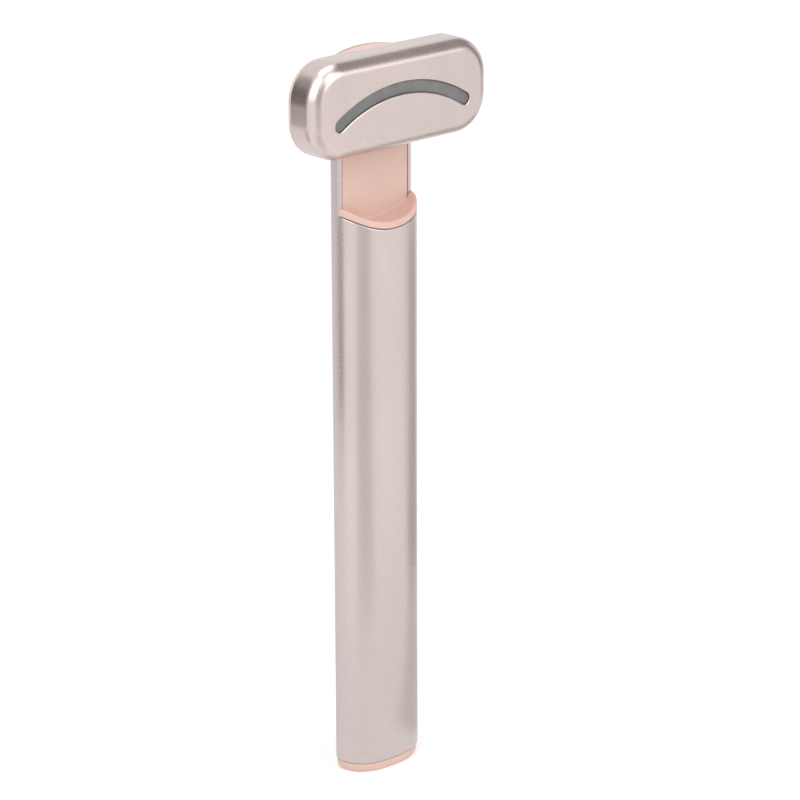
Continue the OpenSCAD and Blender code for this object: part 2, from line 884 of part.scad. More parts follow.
handle_shell();
neck_inlay();
end_cap();
end_seal();
charge_socket();
socket_tongue();
main_board();
board_parts();
chassis();
battery();
battery_pad();
battery_leads();
shell_spring();
motor_sleeve();
motor_can();
motor_leads();
motor_shaft();
motor_weight();
flex_cable();
contact_board();
pivot_bush();
friction_washer();
head_base();
head_seal();
pivot_hub();
hub_screws();
retaining_ring();
contact_rotor();
contact_pins();
head_leads();
head_cover();
light_lens();
lamp_board();
lamps();
heater_film();
heater_leads();
heat_sensor();
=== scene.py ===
"""Heated eye massager wand: its finished surfaces, its materials and its studio.

Lengths are written in millimetres and become metres when a mesh is made. The frame is the
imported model's own: the origin is the middle of the foot, +Z runs up the handle, and the
head faces -Y.
"""
import logging
import math
from dataclasses import dataclass, field
from enum import Enum
from typing import Callable, Sequence

import bmesh
import bpy
import numpy as np
from mathutils import Matrix, Vector


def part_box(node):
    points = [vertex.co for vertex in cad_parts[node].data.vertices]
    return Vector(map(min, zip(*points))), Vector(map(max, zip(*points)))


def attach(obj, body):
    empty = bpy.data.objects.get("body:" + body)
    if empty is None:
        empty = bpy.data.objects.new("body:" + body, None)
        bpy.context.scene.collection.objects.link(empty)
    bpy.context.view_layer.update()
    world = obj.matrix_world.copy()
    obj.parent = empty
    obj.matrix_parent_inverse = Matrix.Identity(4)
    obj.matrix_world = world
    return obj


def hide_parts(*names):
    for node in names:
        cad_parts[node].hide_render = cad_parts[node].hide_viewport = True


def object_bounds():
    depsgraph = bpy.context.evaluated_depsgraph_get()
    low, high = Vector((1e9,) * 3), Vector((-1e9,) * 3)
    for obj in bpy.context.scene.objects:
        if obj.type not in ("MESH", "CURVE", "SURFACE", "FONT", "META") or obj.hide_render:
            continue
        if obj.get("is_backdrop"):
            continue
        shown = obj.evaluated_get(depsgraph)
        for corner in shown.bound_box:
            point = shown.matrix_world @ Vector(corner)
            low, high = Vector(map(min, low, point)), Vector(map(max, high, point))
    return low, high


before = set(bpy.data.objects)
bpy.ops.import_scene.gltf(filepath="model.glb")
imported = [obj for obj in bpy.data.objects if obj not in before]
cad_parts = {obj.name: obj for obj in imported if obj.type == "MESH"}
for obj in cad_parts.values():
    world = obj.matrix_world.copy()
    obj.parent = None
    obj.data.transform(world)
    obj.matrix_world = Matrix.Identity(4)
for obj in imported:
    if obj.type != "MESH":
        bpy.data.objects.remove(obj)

CAD_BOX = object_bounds()
LOG = logging.getLogger("wand")
MM = 0.001
QUARTER = math.pi / 2
# Points along an outline when its length is measured
FINE_STEPS = 4001
# Distance in millimetres under which points become one
WELD = 1e-4
# Height of the swivel's axis, which is the head's middle
PIVOT_Z = 148.0

Array = np.ndarray
Colour = tuple[float, float, float]
Socket = bpy.types.NodeSocket


class Body(Enum):
    """The bodies that new pieces ride on."""

    HANDLE = "handle"
    HEAD = "head"


class Slot(Enum):
    """The record's material slots."""

    SATIN_METAL = "satin_metal"
    COVER_METAL = "cover_metal"
    PEACH_PLASTIC = "peach_plastic"
    BASE_PLASTIC = "base_plastic"
    SMOKY_LENS = "smoky_lens"
    STEEL = "steel"
    BRASS = "brass"
    SEAL_RUBBER = "seal_rubber"
    BLACK_PLASTIC = "black_plastic"
    WHITE_PLASTIC = "white_plastic"
    BOARD_GREEN = "board_green"
    CHIP_BLACK = "chip_black"
    CELL_FOIL = "cell_foil"
    FOAM = "foam"
    FILM_COPPER = "film_copper"
    FLEX_AMBER = "flex_amber"
    LAMP = "lamp"
    WIRE_RED = "wire_red"
    WIRE_BLUE = "wire_blue"


# ------------------------------------------------------------------ curves and surfaces


def unit(angle: Array) -> Array:
    """Unit vectors (cos, sin) at angles in radians."""
    return np.stack([np.cos(angle), np.sin(angle)], -1)


def polar(points: Array) -> Array:
    """Angles in radians at which points lie about the origin."""
    return np.arctan2(points[:, 1], points[:, 0])


def quarter(count: int, first: int = 0) -> Array:
    """Pairs (1 - cos a, 1 - sin a) at count even angles of a quarter turn, from number first on."""
    return 1 - unit(np.linspace(0, QUARTER, count)[first:])


def blend(first: Array, last: Array, shares: Sequence[float]) -> list[Array]:
    """Rows of points on straight lines between two rows.

    Args:
        first: Points of the row at share 0.
        last: Points of the row at share 1.
        shares: Where each new row lies between them.

    Returns:
        One row for each share.
    """
    return [first + (last - first) * share for share in shares]


def at_polar(outline: Array, angles: Array) -> Array:
    """Points of a closed outline that lie at given polar angles about the origin.

    Args:
        outline: Points in order round the origin, as (n, 2).
        angles: Polar angles in radians.

    Returns:
        The points, found by even steps between the outline's own, as (len(angles), 2).
    """
    own = polar(outline)
    order = np.argsort(own)
    place = [
        np.interp(angles, own[order], outline[order, axis], period=2 * math.pi) for axis in (0, 1)
    ]
    return np.stack(place, -1)


@dataclass(frozen=True)
class Oval:
    """Outline of the handle: |x / a|^n + |(y - belly) / b|^n = 1, with its own b at front and back."""

    half_width: float = 10.2
    belly: float = 2.65
    front: float = 7.65
    back: float = 2.35
    fullness: float = 2.5

    def at(self, angle: Array, inset: float) -> Array:
        """Points of the outline drawn in by inset.

        Each is (a * sgn(cos) * |cos|^(2/n), belly + b * sgn(sin) * |sin|^(2/n)).

        Args:
            angle: Angles in radians, where 0 is the right side and -90 degrees the front.
            inset: How far the outline is drawn in.

        Returns:
            Points as (len(angle), 2).
        """
        power = 2 / self.fullness
        cos, sin = np.cos(angle), np.sin(angle)
        reach = np.where(sin < 0, self.front, self.back) - inset
        across = (self.half_width - inset) * np.sign(cos) * np.abs(cos) ** power
        return np.stack([across, self.belly + reach * np.sign(sin) * np.abs(sin) ** power], -1)

    def angle_at_depth(self, y: float, inset: float) -> float:
        """How far below the right side's angle the outline reaches depth y, in radians."""
        return math.asin(((self.belly - y) / (self.front - inset)) ** (self.fullness / 2))

    def spread(self, start: float, stop: float, count: int, inset: float) -> Array:
        """Points between two angles at even distances along the outline.

        Args:
            start: First angle in radians.
            stop: Last angle in radians.
            count: How many points.
            inset: How far the outline is drawn in.

        Returns:
            Points as (count, 2).
        """
        dense = np.linspace(start, stop, FINE_STEPS)
        points = self.at(dense, inset)
        run = np.concatenate([[0.0], np.cumsum(np.linalg.norm(np.diff(points, axis=0), axis=1))])
        return self.at(np.interp(np.linspace(0, run[-1], count), run, dense), inset)

    def front_arc(self, y: float, inset: float, count: int) -> Array:
        """Points of the front from left to right, ending where the outline reaches depth y."""
        side = self.angle_at_depth(y, inset)
        return self.spread(side - math.pi, -side, count, inset)

    def back_arc(self, y: float, inset: float, count: int) -> Array:
        """Points of the back from right to left, starting where the outline reaches depth y."""
        side = self.angle_at_depth(y, inset)
        return self.spread(-side, math.pi + side, count, inset)

    def whole(self, inset: float, count: int) -> Array:
        """Points all round, with the first not repeated at the end."""
        return self.spread(0, 2 * math.pi, count + 1, inset)[:-1]


@dataclass(frozen=True)
class Skeleton:
    """A closed outline kept as spine and outward directions: point = spine + distance * direction."""

    spine: Array
    direction: Array

    def at(self, distance: float) -> Array:
        """Points of the outline at a distance from its spine."""
        return self.spine + distance * self.direction


@dataclass(frozen=True)
class RingSteps:
    """How many columns each stretch of a ring round the head has."""

    long: int = 84
    corner: int = 22
    side: int = 8


def rounded_plate(width: float, height: float, corner: float, steps: RingSteps) -> Skeleton:
    """Skeleton of a rounded rectangle, clockwise from the left end of its top side.

    On a straight side the spine runs between two corner centres with one direction, and
    round a corner it stays at the centre while the direction turns a quarter.

    Args:
        width: Width of the rectangle.
        height: Height of the rectangle.
        corner: Radius of its corners.
        steps: Columns of each stretch.

    Returns:
        The skeleton, whose outline at distance corner is the rectangle itself.
    """
    across, up = width / 2 - corner, height / 2 - corner
    centres = [(-across, up), (across, up), (across, -up), (-across, -up)]
    spine, direction = [], []
    for place, count in enumerate([steps.long, steps.side, steps.long, steps.side]):
        start, stop = np.array(centres[place]), np.array(centres[(place + 1) % 4])
        heading = QUARTER * (1 - place)
        share = np.arange(count)[:, None] / count
        spine.append(start + (stop - start) * share)
        direction.append(np.tile([math.cos(heading), math.sin(heading)], (count, 1)))
        spine.append(np.tile(stop, (steps.corner, 1)))
        direction.append(unit(heading - QUARTER * np.arange(steps.corner) / steps.corner))
    return Skeleton(np.concatenate(spine), np.concatenate(direction))


@dataclass(frozen=True)
class Bow:
    """The light window's bow: an arc with round ends, on the head's plan."""

    chord: float = 34.0
    rise: float = 5.0
    band: float = 2.6

    @property
    def radius(self) -> float:
        """Radius of the arc through the band's middle."""
        return ((self.chord / 2) ** 2 + self.rise**2) / (2 * self.rise)

    @property
    def centre(self) -> float:
        """Height of the arc's centre over the head's middle."""
        return self.rise / 2 - self.radius

    @property
    def half_angle(self) -> float:
        """Angle from the arc's top to either end, in radians."""
        return math.asin(self.chord / 2 / self.radius)

    def skeleton(self, steps: RingSteps) -> Skeleton:
        """Skeleton with the same columns as the plate round it.

        The upper edge runs left to right on the arc, the right cap turns half round its end,
        the lower edge runs back and the left cap closes the loop.

        Args:
            steps: Columns of each stretch.

        Returns:
            The skeleton, whose outline at distance band / 2 is the window itself.
        """
        cap = 2 * steps.corner + steps.side
        sweep = self.half_angle * (2 * np.arange(steps.long) / steps.long - 1)
        arc = np.stack([np.sin(sweep), np.cos(sweep)], -1)
        end = np.array([math.sin(self.half_angle), math.cos(self.half_angle)])
        lean = QUARTER - self.half_angle
        angle = lean - math.pi * np.arange(cap) / cap
        lift = np.array([0.0, self.centre])
        spine = [
            lift + self.radius * arc,
            np.tile(lift + self.radius * end, (cap, 1)),
            lift + self.radius * arc * [-1, 1],
            np.tile(lift + self.radius * end * [-1, 1], (cap, 1)),
        ]
        direction = [arc, unit(angle), arc * [1, -1], unit(angle - 2 * lean)]
        return Skeleton(np.concatenate(spine), np.concatenate(direction))


def raised(plan: Array, y: float, centre: float) -> Array:
    """Stands points of the head's plan at depth y, with the plan's middle at height centre."""
    return np.stack([plan[:, 0], np.full(len(plan), y), plan[:, 1] + centre], -1)


def lifted(plan: Array, z: Array | float) -> Array:
    """Gives points of the handle's plan their heights."""
    return np.stack([plan[:, 0], plan[:, 1], np.broadcast_to(z, len(plan))], -1)


class Surface:
    """Collects grids of points in millimetres and makes one welded mesh of them."""

    def __init__(self) -> None:
        """Starts with no points."""
        self.points: list[Array] = []
        self.faces: list[list[int]] = []
        self.count = 0

    def _add(self, points: Array) -> Array:
        """Adds points.

        Args:
            points: Points in any arrangement, with their three coordinates last.

        Returns:
            Their numbers in the same arrangement.
        """
        flat = points.reshape(-1, 3)
        numbers = np.arange(self.count, self.count + len(flat)).reshape(points.shape[:-1])
        self.points.append(flat)
        self.count += len(flat)
        return numbers

    def grid(self, rows: Sequence[Array], ring: bool = False, closed: bool = False) -> "Surface":
        """Adds a sheet of four-sided faces over rows of points.

        Args:
            rows: Rows with the same number of points, as (n, 3) each.
            ring: Whether each row's last point joins its first.
            closed: Whether the last row joins the first.

        Returns:
            The surface itself.
        """
        numbers = self._add(np.stack(rows))
        if ring:
            numbers = np.hstack([numbers, numbers[:, :1]])
        if closed:
            numbers = np.vstack([numbers, numbers[:1]])
        quads = np.stack(
            [numbers[:-1, :-1], numbers[:-1, 1:], numbers[1:, 1:], numbers[1:, :-1]], -1
        )
        self.faces += quads.reshape(-1, 4).tolist()
        return self

    def lid(self, row: Array) -> None:
        """Closes a loop of points with a fan of triangles round its middle."""
        rim, hub = self._add(row), self._add(row.mean(0)[None])
        self.faces += np.stack([rim, np.roll(rim, -1), np.repeat(hub, len(rim))], -1).tolist()

    def make(self, name: str) -> bpy.types.Object:
        """Makes the object: points are welded, faces turned outwards and shaded smooth.

        Args:
            name: Name of the piece.

        Returns:
            The object, at the origin, with its place in its mesh.
        """
        mesh = bpy.data.meshes.new(name)
        mesh.from_pydata((np.concatenate(self.points) * MM).tolist(), [], self.faces)
        draft = bmesh.new()
        draft.from_mesh(mesh)
        bmesh.ops.remove_doubles(draft, verts=draft.verts, dist=WELD * MM)
        bmesh.ops.dissolve_degenerate(draft, edges=draft.edges, dist=WELD * MM)
        bmesh.ops.recalc_face_normals(draft, faces=draft.faces)
        draft.to_mesh(mesh)
        draft.free()
        mesh.shade_smooth()
        piece = bpy.data.objects.new(name, mesh)
        bpy.context.scene.collection.objects.link(piece)
        return piece


def soften(
    piece: bpy.types.Object,
    width: float,
    share: Callable[[Array], float],
    over: float = 45,
    segments: int = 4,
) -> None:
    """Rounds a piece's sharp edges, each by its own share of a width.

    Args:
        piece: The piece.
        width: Greatest width of the rounding in millimetres.
        share: Gives the share for an edge from its middle in millimetres.
        over: Least angle of a sharp edge in degrees.
        segments: Steps of the rounding.
    """
    draft = bmesh.new()
    draft.from_mesh(piece.data)
    weight = draft.edges.layers.float.new("bevel_weight_edge")
    for edge in draft.edges:
        if edge.calc_face_angle(0) > math.radians(over):
            first, last = (np.array(end.co) / MM for end in edge.verts)
            edge[weight] = share((first + last) / 2)
    draft.to_mesh(piece.data)
    draft.free()
    bevel = piece.modifiers.new("rounded_edges", "BEVEL")
    bevel.width = width * MM
    bevel.segments = segments
    bevel.limit_method = "WEIGHT"
    bevel.use_clamp_overlap = False
    bevel.harden_normals = True


# ------------------------------------------------------------------ materials


class Tree:
    """Short ways to add nodes to a node tree."""

    def __init__(self, tree: bpy.types.NodeTree) -> None:
        """Takes the tree that the nodes go into."""
        self.tree = tree

    def add(self, kind: str, inputs: dict[int | str, object], **settings: object) -> bpy.types.Node:
        """Adds a node.

        Args:
            kind: The node's type.
            inputs: Values or sockets for its inputs, by name or number.
            **settings: Properties of the node.

        Returns:
            The node.
        """
        node = self.tree.nodes.new(kind)
        for key, value in settings.items():
            setattr(node, key, value)
        for key, value in inputs.items():
            if isinstance(value, bpy.types.NodeSocket):
                self.tree.links.new(value, node.inputs[key])
            else:
                node.inputs[key].default_value = value
        return node

    def math(self, operation: str, first: Socket | float, second: Socket | float = 0.0) -> Socket:
        """One arithmetic step on two values."""
        return self.add("ShaderNodeMath", {0: first, 1: second}, operation=operation).outputs[0]

    def seen(self, camera: Socket | float, mirrored: float) -> Socket:
        """One level for camera rays, one for glossy and transmission rays, and 0 for all others.

        Args:
            camera: Level that the camera sees.
            mirrored: Level that reflections and clear surfaces show.

        Returns:
            The level.
        """
        path = self.add("ShaderNodeLightPath", {}).outputs
        direct = self.math("MULTIPLY", path["Is Camera Ray"], camera)
        bounced = self.math("MAXIMUM", path["Is Glossy Ray"], path["Is Transmission Ray"])
        return self.math("MAXIMUM", direct, self.math("MULTIPLY", bounced, mirrored))


class Nodes(Tree):
    """One material's nodes, on Object coordinates in millimetres."""

    def __init__(self, name: str) -> None:
        """Makes the material with an empty principled shader.

        Args:
            name: Name of the material.
        """
        self.material = bpy.data.materials.new(name)
        self.material.use_nodes = True
        super().__init__(self.material.node_tree)
        self.shader = self.tree.nodes["Principled BSDF"]
        place = self.add("ShaderNodeTexCoord", {}).outputs["Object"]
        scale = (1 / MM,) * 3
        self.place = self.add("ShaderNodeMapping", {"Vector": place, "Scale": scale}).outputs[0]

    def noise(self, size: float, detail: float = 2, stretch: tuple = (1, 1, 1)) -> Socket:
        """Soft noise whose grains have a size in millimetres.

        Args:
            size: Size of a grain.
            detail: How many finer layers lie over it.
            stretch: How many times longer a grain is along each axis.

        Returns:
            The noise, of 0 to 1.
        """
        scale = tuple(1 / (size * part) for part in stretch)
        place = self.add("ShaderNodeMapping", {"Vector": self.place, "Scale": scale}).outputs[0]
        inputs = {"Vector": place, "Scale": 1.0, "Detail": detail}
        return self.add("ShaderNodeTexNoise", inputs).outputs["Fac"]

    def spread(
        self, value: Socket, low: float, high: float, start: float = 0.3, stop: float = 0.7
    ) -> Socket:
        """Maps start..stop of a value to low..high."""
        inputs = {"Value": value, "From Min": start, "From Max": stop, "To Min": low, "To Max": high}
        return self.add("ShaderNodeMapRange", inputs).outputs[0]

    def tint(self, share: Socket, first: Colour, second: Colour) -> Socket:
        """Mixes two colours by a share."""
        inputs = {"Factor": share, 6: (*first, 1), 7: (*second, 1)}
        return self.add("ShaderNodeMix", inputs, data_type="RGBA").outputs[2]

    def clouded(self, value: Socket, colour: Colour, low: float, high: float = 1.0) -> Socket:
        """A colour that a noise takes from a low to a high share of its light."""
        return self.tint(self.spread(value, 0, 1), scaled(colour, low), scaled(colour, high))

    def bump(self, height: Socket, depth: float) -> Socket:
        """Turns a height of 0..1 into a relief of a depth in millimetres."""
        inputs = {"Height": height, "Distance": depth * MM, "Strength": 1.0}
        return self.add("ShaderNodeBump", inputs).outputs[0]

    def set(self, **inputs: object) -> None:
        """Sets or links the shader's own inputs.

        Args:
            **inputs: Values or sockets by the inputs' names, with an underscore for a space.
        """
        for key, value in inputs.items():
            socket = self.shader.inputs[key.replace("_", " ")]
            if isinstance(value, bpy.types.NodeSocket):
                self.tree.links.new(value, socket)
            else:
                socket.default_value = (*value, 1) if isinstance(value, tuple) else value


def scaled(colour: Colour, share: float) -> Colour:
    """A colour with a share of its light."""
    return tuple(part * share for part in colour)


class Finish:
    """A surface finish, made into a material under its slot's name."""

    def make(self, name: str) -> bpy.types.Material:
        """Makes the material.

        Args:
            name: Name of the material.

        Returns:
            The material.
        """
        nodes = Nodes(name)
        self.shade(nodes)
        return nodes.material

    def shade(self, nodes: Nodes) -> None:
        """Fills in the shader, which each finish does in its own way."""
        raise NotImplementedError


@dataclass(frozen=True)
class SatinMetal(Finish):
    """Anodised aluminium with a fine blasted grain."""

    colour: Colour
    roughness: float
    grain: float = 0.17
    depth: float = 0.0013
    speck: float = 0.95
    cloud: float = 14.0
    cloud_stretch: tuple[float, float, float] = (1, 1, 2.4)
    dye: float = 0.03
    edge: tuple[float, float] = (0.35, 0.65)
    rub: tuple[float, float] = (0.02, 0.03)

    def shade(self, nodes: Nodes) -> None:
        """Grain in colour, roughness and relief, over slow cloudy changes of the dye.

        Args:
            nodes: The material's nodes.
        """
        grain = nodes.noise(self.grain, 3)
        cloud = nodes.noise(self.cloud, 2, self.cloud_stretch)
        dyed = nodes.clouded(cloud, self.colour, 1 - self.dye, 1 + self.dye)
        speck = nodes.tint(nodes.spread(grain, 0, 1, *self.edge), (self.speck,) * 3, (1, 1, 1))
        inputs = {"Factor": 1.0, 6: dyed, 7: speck}
        colour = nodes.add("ShaderNodeMix", inputs, data_type="RGBA", blend_type="MULTIPLY")
        rubs = [nodes.spread(noise, -rub, rub) for noise, rub in zip((cloud, grain), self.rub)]
        nodes.set(
            Base_Color=colour.outputs[2],
            Metallic=1.0,
            Roughness=nodes.math("ADD", nodes.math("ADD", *rubs), self.roughness),
            Normal=nodes.bump(grain, self.depth),
        )


@dataclass(frozen=True)
class MouldedPlastic(Finish):
    """Moulded plastic with a fine spark-eroded skin."""

    colour: Colour
    roughness: float = 0.45
    texture: float = 0.12
    depth: float = 0.002
    glow: float = 0.0
    lit: float = 0.0
    flow: float = 9.0
    clouds: tuple[float, float] = (0.975, 1.02)
    rub: float = 0.05
    glow_depth: float = 0.8
    glow_reach: Colour = (1.0, 0.55, 0.4)

    def shade(self, nodes: Nodes) -> None:
        """Skin in relief and roughness, and faint flow clouds in the colour.

        Args:
            nodes: The material's nodes.
        """
        skin = nodes.noise(self.texture)
        nodes.set(
            Base_Color=nodes.clouded(nodes.noise(self.flow), self.colour, *self.clouds),
            Roughness=nodes.spread(skin, self.roughness - self.rub, self.roughness + self.rub),
            Normal=nodes.bump(skin, self.depth),
        )
        if self.glow:
            nodes.shader.subsurface_method = "RANDOM_WALK"
            nodes.set(Subsurface_Weight=self.glow, Subsurface_Scale=self.glow_depth * MM)
            nodes.shader.inputs["Subsurface Radius"].default_value = self.glow_reach
        if self.lit:
            nodes.set(Emission_Color=self.colour, Emission_Strength=self.lit)


@dataclass(frozen=True)
class SmokyPlastic(Finish):
    """Smoked translucent plastic that lets the lamps behind it show faintly."""

    colour: Colour
    clear: float
    tint: Colour
    haze: float = 2.2
    clouds: tuple[float, float] = (0.9, 1.1)
    roughness: tuple[float, float] = (0.16, 0.24)
    ripple: float = 0.6
    depth: float = 0.0006
    uneven: float = 0.03

    def shade(self, nodes: Nodes) -> None:
        """A tinted body mixed with a see-through share, both with a slow haze.

        Args:
            nodes: The material's nodes.
        """
        haze = nodes.noise(self.haze)
        nodes.set(
            Base_Color=nodes.clouded(haze, self.colour, *self.clouds),
            Roughness=nodes.spread(haze, *self.roughness),
            Normal=nodes.bump(nodes.noise(self.ripple, 1), self.depth),
        )
        body = nodes.shader.outputs[0]
        through = nodes.add("ShaderNodeBsdfTransparent", {"Color": (*self.tint, 1)}).outputs[0]
        share = nodes.spread(haze, self.clear - self.uneven, self.clear + self.uneven)
        mix = nodes.add("ShaderNodeMixShader", {0: share, 1: body, 2: through})
        output = nodes.tree.nodes["Material Output"]
        nodes.tree.links.new(mix.outputs[0], output.inputs["Surface"])


@dataclass(frozen=True)
class TurnedMetal(Finish):
    """Plain machined or plated metal with drawn marks along the handle."""

    colour: Colour
    roughness: float = 0.3
    mark: float = 0.08
    stretch: tuple[float, float, float] = (1, 1, 12)
    tarnish: float = 1.6
    dull: float = 0.86
    rub: tuple[float, float] = (-0.06, 0.1)
    depth: float = 0.002

    def shade(self, nodes: Nodes) -> None:
        """Drawn marks in roughness and relief, with a faint tarnish.

        Args:
            nodes: The material's nodes.
        """
        marks = nodes.noise(self.mark, 2, self.stretch)
        nodes.set(
            Base_Color=nodes.clouded(nodes.noise(self.tarnish, 3), self.colour, self.dull),
            Metallic=1.0,
            Roughness=nodes.spread(marks, *(self.roughness + part for part in self.rub)),
            Normal=nodes.bump(marks, self.depth),
        )


@dataclass(frozen=True)
class PrintedBoard(Finish):
    """Solder mask over copper tracks, which stand out faintly under the lacquer."""

    mask: Colour
    track: Colour
    pitch: float = 1.3
    bend: float = 6.0
    edge: tuple[float, float] = (0.62, 0.68)
    haze: float = 0.5
    roughness: tuple[float, float] = (0.28, 0.4)
    relief: float = 0.03

    def shade(self, nodes: Nodes) -> None:
        """Tracks are the bands of a slanting wave, bent by noise.

        Args:
            nodes: The material's nodes.
        """
        inputs = {"Vector": nodes.place, "Scale": 0.5 / self.pitch}
        inputs |= {"Distortion": self.bend, "Detail": 0.0, "Detail Scale": 0.4}
        wave = nodes.add("ShaderNodeTexWave", inputs, bands_direction="DIAGONAL").outputs["Fac"]
        copper = nodes.spread(wave, 0, 1, *self.edge)
        nodes.set(
            Base_Color=nodes.tint(copper, self.mask, self.track),
            Roughness=nodes.spread(nodes.noise(self.haze), *self.roughness),
            Normal=nodes.bump(copper, self.relief),
        )


@dataclass(frozen=True)
class CrinkledFoil(Finish):
    """Soft metal foil with pressed creases."""

    colour: Colour
    crease: float = 3.0
    stretch: tuple[float, float, float] = (1, 1, 2)
    dull: float = 0.9
    roughness: tuple[float, float] = (0.28, 0.42)
    relief: float = 0.12

    def shade(self, nodes: Nodes) -> None:
        """Creases are a stretched noise in colour, roughness and relief.

        Args:
            nodes: The material's nodes.
        """
        creases = nodes.noise(self.crease, 4, self.stretch)
        nodes.set(
            Base_Color=nodes.clouded(creases, self.colour, self.dull),
            Metallic=1.0,
            Roughness=nodes.spread(creases, *self.roughness),
            Normal=nodes.bump(creases, self.relief),
        )


FINISHES: dict[Slot, Finish] = {
    Slot.SATIN_METAL: SatinMetal((0.615, 0.54, 0.527), 0.29),
    Slot.COVER_METAL: SatinMetal((0.65, 0.555, 0.53), 0.28),
    Slot.PEACH_PLASTIC: MouldedPlastic((0.80, 0.56, 0.475), 0.42, glow=0.12),
    Slot.BASE_PLASTIC: MouldedPlastic((0.80, 0.62, 0.56), 0.42, glow=0.12),
    Slot.SMOKY_LENS: SmokyPlastic((0.31, 0.315, 0.31), 0.42, (0.75, 0.77, 0.77)),
    Slot.STEEL: TurnedMetal((0.62, 0.62, 0.63), 0.28),
    Slot.BRASS: TurnedMetal((0.78, 0.58, 0.27), 0.25),
    Slot.SEAL_RUBBER: MouldedPlastic((0.045, 0.045, 0.048), 0.7, 0.3, 0.004),
    Slot.BLACK_PLASTIC: MouldedPlastic((0.035, 0.035, 0.038), 0.5, 0.15, 0.004),
    Slot.WHITE_PLASTIC: MouldedPlastic((0.74, 0.74, 0.71), 0.4),
    Slot.BOARD_GREEN: PrintedBoard((0.01, 0.085, 0.035), (0.03, 0.16, 0.06)),
    Slot.CHIP_BLACK: MouldedPlastic((0.03, 0.03, 0.033), 0.55, 0.08, 0.003),
    Slot.CELL_FOIL: CrinkledFoil((0.6, 0.61, 0.64)),
    Slot.FOAM: MouldedPlastic((0.06, 0.06, 0.065), 0.85, 0.35, 0.08),
    Slot.FILM_COPPER: PrintedBoard((0.5, 0.24, 0.07), (0.68, 0.33, 0.16), 1.8),
    Slot.FLEX_AMBER: PrintedBoard((0.48, 0.23, 0.05), (0.62, 0.3, 0.1), 0.9),
    Slot.LAMP: MouldedPlastic((0.88, 0.86, 0.8), 0.2, 0.5, 0.001, lit=0.3),
    Slot.WIRE_RED: MouldedPlastic((0.42, 0.02, 0.015), 0.4, 0.4, 0.003),
    Slot.WIRE_BLUE: MouldedPlastic((0.02, 0.07, 0.36), 0.4, 0.4, 0.003),
}

KEPT_NODES: dict[Slot, tuple[str, ...]] = {
    Slot.STEEL: ("charge_socket", "motor_can", "motor_shaft", "motor_weight", "friction_washer",
                 "pivot_hub", "hub_screws", "retaining_ring"),
    Slot.BRASS: ("shell_spring", "contact_pins"),
    Slot.SEAL_RUBBER: ("end_seal", "motor_sleeve", "head_seal"),
    Slot.BLACK_PLASTIC: ("socket_tongue", "chassis", "contact_rotor"),
    Slot.WHITE_PLASTIC: ("pivot_bush", "lamp_board"),
    Slot.BOARD_GREEN: ("main_board", "contact_board"),
    Slot.CHIP_BLACK: ("board_parts", "heat_sensor"),
    Slot.CELL_FOIL: ("battery",),
    Slot.FOAM: ("battery_pad",),
    Slot.FILM_COPPER: ("heater_film",),
    Slot.FLEX_AMBER: ("flex_cable",),
    Slot.LAMP: ("lamps",),
    Slot.WIRE_RED: ("battery_leads", "heater_leads"),
    Slot.WIRE_BLUE: ("motor_leads", "head_leads"),
}


class Wardrobe:
    """Makes each finish once and puts it on pieces."""

    def __init__(self) -> None:
        """Starts with nothing made."""
        self.made: dict[Slot, bpy.types.Material] = {}

    def material(self, slot: Slot) -> bpy.types.Material:
        """The material of a slot, made the first time it is asked for.

        Args:
            slot: The slot.

        Returns:
            The material.
        """
        if slot not in self.made:
            self.made[slot] = FINISHES[slot].make(slot.value)
        return self.made[slot]

    def dress(self, piece: bpy.types.Object, slot: Slot, body: Body, *stands_for: str) -> None:
        """Finishes a new piece and lets it ride.

        Args:
            piece: The piece, in place.
            slot: The slot whose finish it takes.
            body: The body it moves with.
            *stands_for: CAD nodes that it replaces.
        """
        piece.data.materials.append(self.material(slot))
        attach(piece, body.value)
        if stands_for:
            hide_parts(*stands_for)
        LOG.info("%s: %d faces, rides %s", piece.name, len(piece.data.polygons), body.value)

    def dress_kept_nodes(self) -> None:
        """Gives every CAD node that stays its finish."""
        for slot, names in KEPT_NODES.items():
            for name in names:
                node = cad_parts[name]
                node.data.materials.clear()
                node.data.materials.append(self.material(slot))
                LOG.info("%s: kept, %s", name, slot.value)


# ------------------------------------------------------------------ handle


@dataclass(frozen=True)
class Contacts:
    """Gilt contact strips on both faces of the socket's tongue."""

    count: int = 12
    pitch: float = 0.5
    width: float = 0.25
    length: float = 3.0
    start: float = 0.4
    proud: float = 0.03
    sunk: float = 0.05
    taper: float = 0.9

    def make(self) -> bpy.types.Object:
        """Makes the strips, each a low block whose top is drawn in by the taper.

        Returns:
            The piece.
        """
        surface = Surface()
        low, high = (np.array(corner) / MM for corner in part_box("socket_tongue"))
        corners = np.array([[-0.5, 0, 0], [0.5, 0, 0], [0.5, 0, 1], [-0.5, 0, 1]])
        for face, y in ((-1, low[1]), (1, high[1])):
            for number in range(self.count):
                x = (number - (self.count - 1) / 2) * self.pitch
                loop = corners * [self.width, 0, self.length] + [x, y, low[2] + self.start]
                top = (loop - loop.mean(0)) * self.taper + loop.mean(0)
                rows = [loop - [0, face * self.sunk, 0], loop + [0, face * self.proud / 2, 0],
                        top + [0, face * self.proud, 0]]
                surface.grid(rows, ring=True)
                surface.lid(rows[0])
                surface.lid(rows[-1])
        return surface.make("socket_contacts")


